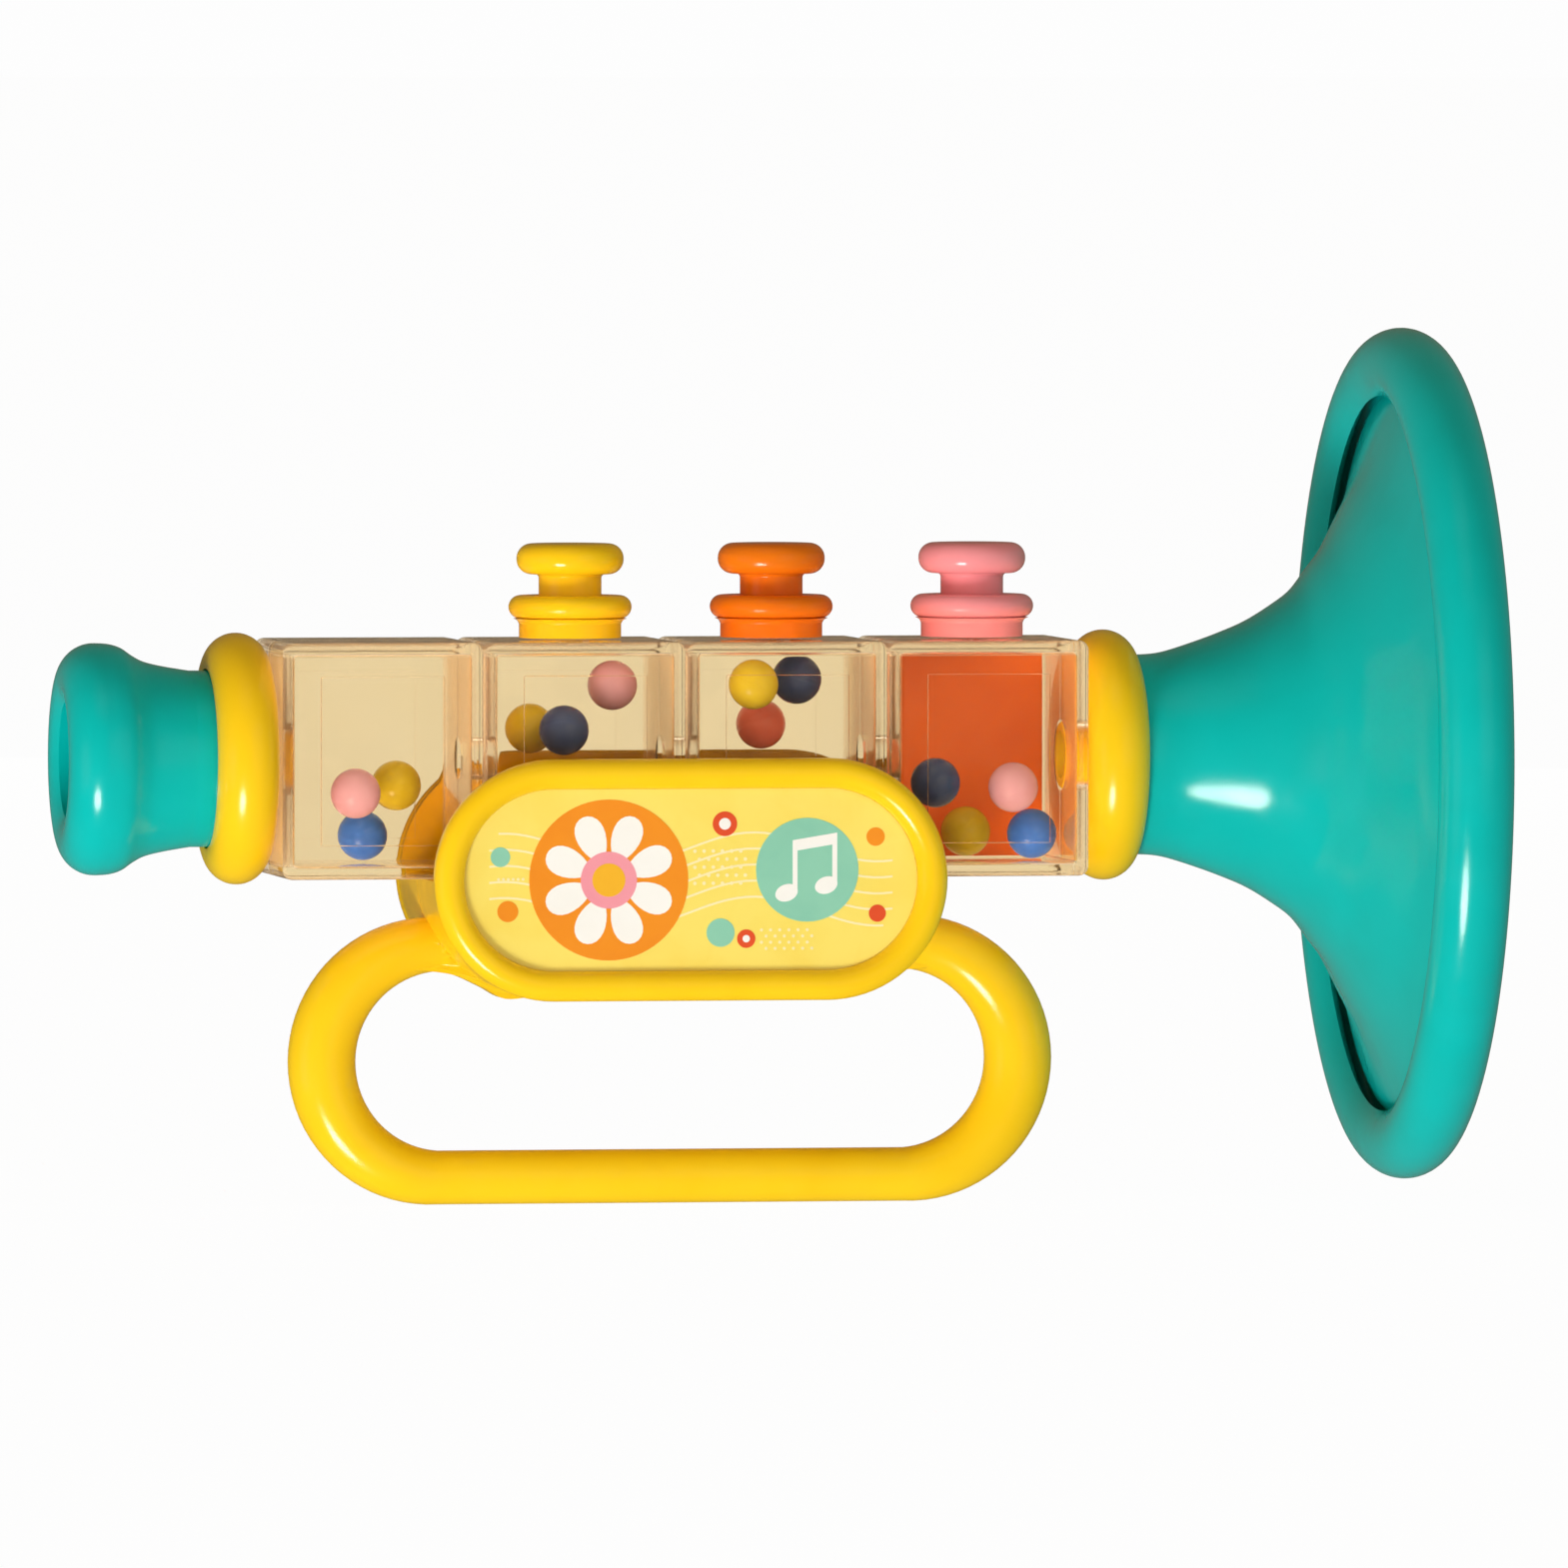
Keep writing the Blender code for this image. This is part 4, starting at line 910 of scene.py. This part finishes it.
def make_handle_half(side):
    """One half shell with its plate, frame, drum, loop, ribs and screw places."""
    node = "handle_front" if side < 0 else "handle_rear"
    past = -side * SEAM_PAST
    half_length, radius = BADGE_LENGTH / 2 - DRUM_INSET, BADGE_HEIGHT / 2 - DRUM_INSET
    half = slab(f"{node}_shell", stadium(half_length, radius, BADGE_Z, 40), past, side * CHEEK_OUTER)
    hollow_line = stadium(half_length - DRUM_WALL, radius - DRUM_WALL, BADGE_Z, 40)
    hollow = slab(f"{node}_hollow", hollow_line, 2 * past, side * CHEEK_INNER)
    under = block_cut(f"{node}_under", (-CUT_LONG, -CUT_WIDE, 0), (CUT_LONG, CUT_WIDE, SEAT_Z - DRUM_WALL))
    carve(hollow, ("INTERSECT", under))
    points, radii = loop_path(40)
    loop = tube(f"{node}_loop", points, radii, 48)
    webs = [slab(f"{node}_web_{sign}", web_outline(sign), -WEB_HALF, WEB_HALF) for sign in (-1, 1)]
    frame_line = stadium(BADGE_LENGTH / 2 - FRAME_TUBE, BADGE_HEIGHT / 2 - FRAME_TUBE, BADGE_Z, 40)
    frame_y = side * (CHEEK_OUTER + FRAME_PROUD)
    rim = tube(f"{node}_rim", [(x, frame_y, z) for x, z in frame_line], [FRAME_TUBE] * len(frame_line), 40)
    near, far = sorted((2 * past, side * CHEEK_INNER))
    channel = block_cut(f"{node}_channel", (-CUT_LONG, near, SEAT_Z), (CUT_LONG, far, SEAT_Z + CUT_WIDE))
    jobs = [("DIFFERENCE", hollow), ("DIFFERENCE", channel), ("UNION", loop)]
    jobs += [("UNION", webs[0]), ("UNION", webs[1]), ("UNION", rim)]
    inner = side * (CHEEK_INNER + BITE)
    near, far = sorted((past / 2, inner))
    for step in (-1, 0, 1):
        x = step * RIB_SPACING
        rib = block_cut(f"{node}_rib_{step}", (x - RIB_HALF, near, BADGE_Z - BADGE_HEIGHT / 2 + RIB_FOOT),
                        (x + RIB_HALF, far, SEAT_Z - BITE))
        jobs.append(("UNION", rib))
    for x, z, screw in HANDLE_SCREWS[:2]:
        jobs.append(("UNION", bore_along_y(f"{node}_boss", BOSS_RADIUS, x, z, past / 2, inner)))
    near, far = sorted((side * SEAM_HALF, side * CUT_WIDE))
    kept = block_cut(f"{node}_kept", (-CUT_LONG, near, -CUT_WIDE), (CUT_LONG, far, CUT_HIGH))
    jobs.append(("INTERSECT", kept))
    for x, z, screw in HANDLE_SCREWS:
        hole, well, seat = screw["hole"], screw["head"] + GAP, screw["seat"]
        if side > 0:
            cuts = ((f"{node}_hole", hole, -HOLE_PAST, seat + HOLE_OVERLAP),
                    (f"{node}_well", well, seat, CHEEK_OUTER + SEAM_PAST))
        else:
            cuts = ((f"{node}_pilot", hole, SEAM_PAST, seat - screw["pilot"] - GAP),)
        for name, radius, low, high in cuts:
            jobs.append(("DIFFERENCE", bore_along_y(name, radius, x, z, low, high)))
    carve(half, *jobs)
    return fit(smooth_but_sharp(half, 35), YELLOW, node)


make_handle_half(-1)
make_handle_half(1)

# HANDLE SCREWS
# Four small cross-head screws of bright plated steel, two through the drum and two through the loop's ends.
# They are driven in from behind, and their pan heads sit at the bottom of the wells in the rear half.
SCREW_STEEL = metal("screw_steel", (0.66, 0.66, 0.66), (300.0, 300.0, 300.0))
THREAD_PITCH = 0.0006
THREAD_CORE = 0.80
CROWN_SHARE = 0.45
CROSS_DEPTH = 0.0007
CROSS_HALF_WIDTH = 0.0004
CROSS_REACH = 0.62
CROSS_PAST = 0.002


def make_screw(number, x, z, sizes):
    """A pan-head screw, its head to the rear."""
    node = f"handle_screw_{number}"
    head, shank = sizes["head"], sizes["shank"]
    low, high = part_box(node)
    length = high.y - low.y
    thick = high.y - sizes["seat"] - GAP
    crown = thick * CROWN_SHARE
    line = [(0, length), (head * 0.45, length - crown * 0.12), (head * 0.8, length - crown * 0.5),
            (head, length - crown), (head, length - thick), (shank, length - thick)]
    pitch, core = THREAD_PITCH, shank * THREAD_CORE
    height = length - thick - pitch
    while height > 4 * pitch:
        line += [(shank, height), (core, height - pitch * 0.5)]
        height -= pitch
    line += [(core, 3 * pitch), (shank * 0.3, 0), (0, 0)]
    place = Matrix.Translation((x, low.y, z)) @ Matrix.Rotation(math.radians(-90), 4, "X")
    screw = turned(f"{node}_steel", line, place, steps=36, closed=False, sharp=30)
    low_y, high_y = high.y - CROSS_DEPTH, high.y + CROSS_PAST
    jobs = []
    for name, reach, rise in (("cross_a", head * CROSS_REACH, CROSS_HALF_WIDTH),
                              ("cross_b", CROSS_HALF_WIDTH, head * CROSS_REACH)):
        slot_cut = block_cut(name, (x - reach, low_y, z - rise), (x + reach, high_y, z + rise))
        jobs.append(("DIFFERENCE", slot_cut))
    carve(screw, *jobs)
    return fit(smooth_but_sharp(screw, 30), SCREW_STEEL, node)


for number, (x, z, sizes) in enumerate(HANDLE_SCREWS, 1):
    make_screw(number, x, z, sizes)

# BADGE LABEL
# A pale yellow printed film in the recess of the front badge, with a plain design of its own:
# a daisy on an orange disc, a pair of notes on a teal disc, wavy lines and dots.
label_low, label_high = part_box("badge_label")
LABEL_FACE = label_low.y
FILM_INSET = 2 * FRAME_TUBE - 0.00002
FILM_EDGE = 0.00012
INK_STEP = 0.00003
INK_ROOT = 0.0001


def ink(name, colour, deep):
    """Printed film: satin, almost flat in colour."""
    return plastic(name, colour, deep, gloss=0.36, grain=0.02, flow=120.0)


FILM = ink("film_yellow", (0.955, 0.770, 0.150), (0.930, 0.700, 0.100))
INKS = {
    "orange": ink("ink_orange", (0.900, 0.290, 0.010), (0.840, 0.240, 0.008)),
    "white": ink("ink_white", (0.940, 0.930, 0.900), (0.900, 0.880, 0.840)),
    "teal": ink("ink_teal", (0.270, 0.620, 0.460), (0.220, 0.560, 0.420)),
    "red": ink("ink_red", (0.780, 0.085, 0.020), (0.700, 0.065, 0.018)),
    "pink": ink("ink_pink", (0.900, 0.330, 0.400), (0.850, 0.280, 0.350)),
    "pale": ink("ink_pale", (0.960, 0.850, 0.480), (0.950, 0.820, 0.420)),
    "gold": ink("ink_gold", (0.920, 0.480, 0.020), (0.880, 0.420, 0.015)),
}
film_line = stadium(BADGE_LENGTH / 2 - FILM_INSET, BADGE_HEIGHT / 2 - FILM_INSET, BADGE_Z, 48)
film = slab("badge_film", film_line, label_high.y, label_low.y, FILM_EDGE)
fit(film, FILM, "badge_label")


def disc(x, z, radius, count=40):
    """A round outline."""
    return [(x + px, z + pz) for px, pz in arc((0, 0), radius, 0, 360 - 360 / count, count - 1)]


def petal(x, z, turn, near, far, width):
    """One petal that leaves the middle of a flower at an angle."""
    middle, half = (near + far) / 2, (far - near) / 2
    points = []
    for px, pz in arc((0, 0), 1.0, 0, 345, 23):
        along = middle + half * px
        side = width * pz * (0.82 + 0.18 * px)
        points.append((x + along * math.cos(turn) - side * math.sin(turn),
                       z + along * math.sin(turn) + side * math.cos(turn)))
    return points


def ribbon(points, width):
    """A line of even width along points."""
    left, right = [], []
    last = len(points) - 1
    for index, point in enumerate(points):
        before, after = Vector(points[max(index - 1, 0)]), Vector(points[min(index + 1, last)])
        side = (after - before).normalized() * (width / 2)
        left.append((point[0] - side.y, point[1] + side.x))
        right.append((point[0] + side.y, point[1] - side.x))
    return left + right[::-1]


def print_shapes(name, colour, layer, outlines):
    """Prints flat shapes in one ink, given in millimetres from the label's middle."""
    bm = bmesh.new()
    for index, outline in enumerate(outlines):
        face = LABEL_FACE - INK_STEP * (layer + 0.02 * index)
        rings = []
        for y in (LABEL_FACE + INK_ROOT, face):
            rings.append([bm.verts.new((x / 1000, y, BADGE_Z + z / 1000)) for x, z in outline])
        skin(bm, rings)
        for ring in rings:
            bmesh.ops.triangulate(bm, faces=[bm.faces.new(ring)])
    piece = new_piece(f"print_{name}", bm)
    piece.data.materials.append(INKS[colour])
    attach(piece, TRUMPET)


FLOWER = (-13.5, 0.0)
NOTES = (19.0, 1.5)
NOTE_LEAN = 0.35
NOTE_FLATNESS = 0.72
STAVE_LEFT = -33
STAVE_STEP = 1.5
STAVE_SWING = 2.4
STAVE_WAVE = 6.5
STAVE_WIDTH = 0.35
FILM_STRAIGHT = 21.6
FILM_REACH = 13.6


def note(x, z, size):
    """The oval head of a note."""
    lean_x, lean_z = math.cos(NOTE_LEAN), math.sin(NOTE_LEAN)
    points = []
    for px, pz in arc((0, 0), 1.0, 0, 350, 35):
        along, side = px * size, pz * size * NOTE_FLATNESS
        points.append((x + along * lean_x - side * lean_z, z + along * lean_z + side * lean_x))
    return points


def staff_line(offset):
    """One wavy line of the stave across the film, cut off near the film's edge."""
    points = []
    for step in range(45):
        x = STAVE_LEFT + step * STAVE_STEP
        z = offset + STAVE_SWING * math.sin(x / STAVE_WAVE)
        past = max(abs(x) - FILM_STRAIGHT, 0)
        if past ** 2 + z ** 2 < FILM_REACH ** 2:
            points.append((x, z))
    return ribbon(points, STAVE_WIDTH)


print_shapes("stave", "pale", 1, [staff_line(offset) for offset in (-5.2, -2.6, 0.0, 2.6, 5.2)])
print_shapes("flower_disc", "orange", 2, [disc(*FLOWER, 13.0, 72)])
print_shapes("notes_disc", "teal", 2, [disc(*NOTES, 8.4, 60)])
print_shapes("petals", "white", 3, [
    petal(*FLOWER, math.radians(22.5 + 45 * index), 3.4, 11.0, 2.9) for index in range(8)
])
print_shapes("flower_ring", "pink", 4, [disc(*FLOWER, 4.6, 48)])
print_shapes("flower_middle", "gold", 5, [disc(*FLOWER, 2.7, 40)])
nx, nz = NOTES
print_shapes("notes", "white", 3, [
    note(nx - 3.4, nz - 3.7, 1.9), note(nx + 3.1, nz - 2.5, 1.9),
    [(nx - 2.4, nz - 3.4), (nx - 1.6, nz - 3.4), (nx - 1.6, nz + 3.6), (nx - 2.4, nz + 3.6)],
    [(nx + 4.1, nz - 2.2), (nx + 4.9, nz - 2.2), (nx + 4.9, nz + 4.8), (nx + 4.1, nz + 4.8)],
    [(nx - 2.4, nz + 3.0), (nx + 4.9, nz + 4.2), (nx + 4.9, nz + 6.0), (nx - 2.4, nz + 4.8)],
])
print_shapes("small_discs", "red", 2, [disc(5.5, 9.0, 2.0), disc(9.0, -9.6, 1.5), disc(30.5, -5.6, 1.4)])
print_shapes("small_middles", "white", 3, [disc(5.5, 9.0, 0.95), disc(9.0, -9.6, 0.6)])
print_shapes("teal_discs", "teal", 2, [disc(4.8, -8.6, 2.3), disc(-31.2, 3.8, 1.6)])
print_shapes("orange_discs", "orange", 2, [disc(-30.0, -5.0, 1.7), disc(30.2, 6.8, 1.5)])
dots = []
for row in range(5):
    for column in range(6):
        across = 1.5 * column + 0.75 * (row % 2)
        dots.append(disc(0.6 + across, 4.6 - 1.3 * row, 0.30, 12))
        if row < 4:
            dots.append(disc(11.5 + across, -8.2 - 1.0 * row, 0.26, 12))
        else:
            dots.append(disc(-31.5 + 0.8 * column, 0.2, 0.24, 12))
print_shapes("dots", "pale", 1.5, dots)

# STUDIO
# A pale floor under the trumpet and a white surround. A soft lamp stands low in front and left, a round one
# beside it gives the highlights, and weak fills light the front, the left, the top and the back.
floor_mesh = bmesh.new()
bmesh.ops.create_grid(floor_mesh, x_segments=1, y_segments=1, size=60.0)
floor = new_piece("floor", floor_mesh, Matrix.Translation((0, 0, cad_box[0][2] - 0.0001)))
floor.visible_shadow = False
floor.visible_diffuse = False
floor.visible_glossy = False
pale, tree, shader = new_material("pale_floor")
dial(shader, Base_Color=(0.86, 0.86, 0.85, 1), Roughness=0.8, Specular_IOR_Level=0.1)
glow = tree.nodes.new("ShaderNodeEmission")
path = tree.nodes.new("ShaderNodeLightPath")
seen_share = tree.nodes.new("ShaderNodeMath")
seen_share.operation = "MAXIMUM"
with_glass = tree.nodes.new("ShaderNodeMath")
with_glass.operation = "MAXIMUM"
keep_shadow = tree.nodes.new("ShaderNodeMath")
keep_shadow.operation = "MULTIPLY"
keep_shadow.inputs[1].default_value = 0.976
blend = tree.nodes.new("ShaderNodeMixShader")
wire(tree,
     (path.outputs["Is Camera Ray"], seen_share.inputs[0]),
     (path.outputs["Is Glossy Ray"], seen_share.inputs[1]),
     (seen_share.outputs["Value"], with_glass.inputs[0]),
     (path.outputs["Is Transmission Ray"], with_glass.inputs[1]),
     (with_glass.outputs["Value"], keep_shadow.inputs[0]),
     (keep_shadow.outputs["Value"], blend.inputs[0]),
     (shader.outputs["BSDF"], blend.inputs[1]),
     (glow.outputs["Emission"], blend.inputs[2]),
     (blend.outputs["Shader"], tree.nodes["Material Output"].inputs["Surface"]))
floor.data.materials.append(pale)

world = bpy.data.worlds.new("white_studio")
bpy.context.scene.world = world
world.use_nodes = True
tree = world.node_tree
around = tree.nodes["Background"]
height = tree.nodes.new("ShaderNodeTexCoord")
split = tree.nodes.new("ShaderNodeSeparateXYZ")
rise = tree.nodes.new("ShaderNodeMapRange")
spread(rise, -0.5, 0.6)
ambient = colour_mix(tree)
dial(ambient, A=(0.56, 0.56, 0.52, 1), B=(0.20, 0.14, 0.07, 1))
mirrored = colour_mix(tree)
dial(mirrored, B=(0.15, 0.12, 0.08, 1))
white = colour_mix(tree)
dial(white, B=(0.985, 0.985, 0.985, 1))
path = tree.nodes.new("ShaderNodeLightPath")
clear_view = tree.nodes.new("ShaderNodeMath")
clear_view.operation = "MAXIMUM"
wire(tree,
     (height.outputs["Generated"], split.inputs["Vector"]),
     (split.outputs["Z"], rise.inputs["Value"]),
     (rise.outputs["Result"], ambient.inputs["Factor"]),
     (path.outputs["Is Camera Ray"], clear_view.inputs[0]),
     (path.outputs["Is Transmission Ray"], clear_view.inputs[1]),
     (clear_view.outputs["Value"], white.inputs["Factor"]),
     (path.outputs["Is Glossy Ray"], mirrored.inputs["Factor"]),
     (ambient.outputs["Result"], mirrored.inputs["A"]),
     (mirrored.outputs["Result"], white.inputs["A"]),
     (white.outputs["Result"], around.inputs["Color"]))

AIM = Vector((0.0, 0.0, AXIS_Z))
LAMP_WHITE = (1.0, 0.98, 0.95)
LAMP_WARM = (1.0, 0.93, 0.84)


def direction(azimuth, elevation):
    """From the object towards a lamp or the camera; azimuth 0 is the front."""
    a, e = math.radians(azimuth), math.radians(elevation)
    return Vector((math.sin(a) * math.cos(e), -math.cos(a) * math.cos(e), math.sin(e)))


def lamp(name, azimuth, elevation, distance, size, power, colour):
    """A soft lamp that faces the trumpet."""
    data = bpy.data.lights.new(name, "AREA")
    data.size = size
    data.energy = power
    data.color = colour
    made = bpy.data.objects.new(name, data)
    bpy.context.scene.collection.objects.link(made)
    back = direction(azimuth, elevation)
    made.location = AIM + back * distance
    made.rotation_mode = "QUATERNION"
    made.rotation_quaternion = back.to_track_quat("Z", "Y")
    made.visible_camera = False
    return made


lamp("low_key", -34, -30, 1.5, 0.42, 13.0, LAMP_WHITE).visible_glossy = False
low_gleam = lamp("low_gleam", -34, -36, 1.5, 0.50, 20.0, LAMP_WHITE)
low_gleam.data.shape = "DISK"
low_gleam.visible_diffuse = False
lamp("front_fill", 25, 12, 2.0, 1.4, 8.0, LAMP_WHITE).visible_glossy = False
lamp("left_fill", -72, -4, 1.6, 0.8, 4.8, LAMP_WHITE).visible_glossy = False
lamp("top_fill", -20, 62, 2.0, 1.2, 5.0, LAMP_WARM).visible_glossy = False
back_fill = lamp("back_fill", 160, 14, 2.0, 1.4, 6.0, LAMP_WHITE)
back_fill.visible_glossy = False
back_fill.visible_transmission = False

# CAMERA
# A long lens near the trumpet's height and a little to the left of its middle, as in the photograph.
# Its aim comes from the pixel at which the middle of the trumpet lies in the photograph.
AZIMUTH, ELEVATION, ROLL = -9.4, 2.0, 0.05
DISTANCE = 3.6
METRES_PER_PIXEL = 0.0001624
PHOTO_SIDE = 1569
TARGET_PIXEL = (671, 757)
SENSOR = 36.0
camera_data = bpy.data.cameras.new("photo_camera")
camera = bpy.data.objects.new("photo_camera", camera_data)
bpy.context.scene.collection.objects.link(camera)
back = direction(AZIMUTH, ELEVATION)
turn = back.to_track_quat("Z", "Y") @ Matrix.Rotation(math.radians(ROLL), 3, "Z").to_quaternion()
right, up = turn @ Vector((1, 0, 0)), turn @ Vector((0, 1, 0))
aside = (PHOTO_SIDE / 2 - TARGET_PIXEL[0]) * METRES_PER_PIXEL
above = (TARGET_PIXEL[1] - PHOTO_SIDE / 2) * METRES_PER_PIXEL
camera.location = AIM + right * aside + up * above + back * DISTANCE
camera.rotation_mode = "QUATERNION"
camera.rotation_quaternion = turn
camera_data.sensor_width = SENSOR
camera_data.lens = DISTANCE / METRES_PER_PIXEL / PHOTO_SIDE * SENSOR
camera_data.clip_end = 200
bpy.context.scene.camera = camera
bpy.context.scene.view_settings.view_transform = "Standard"
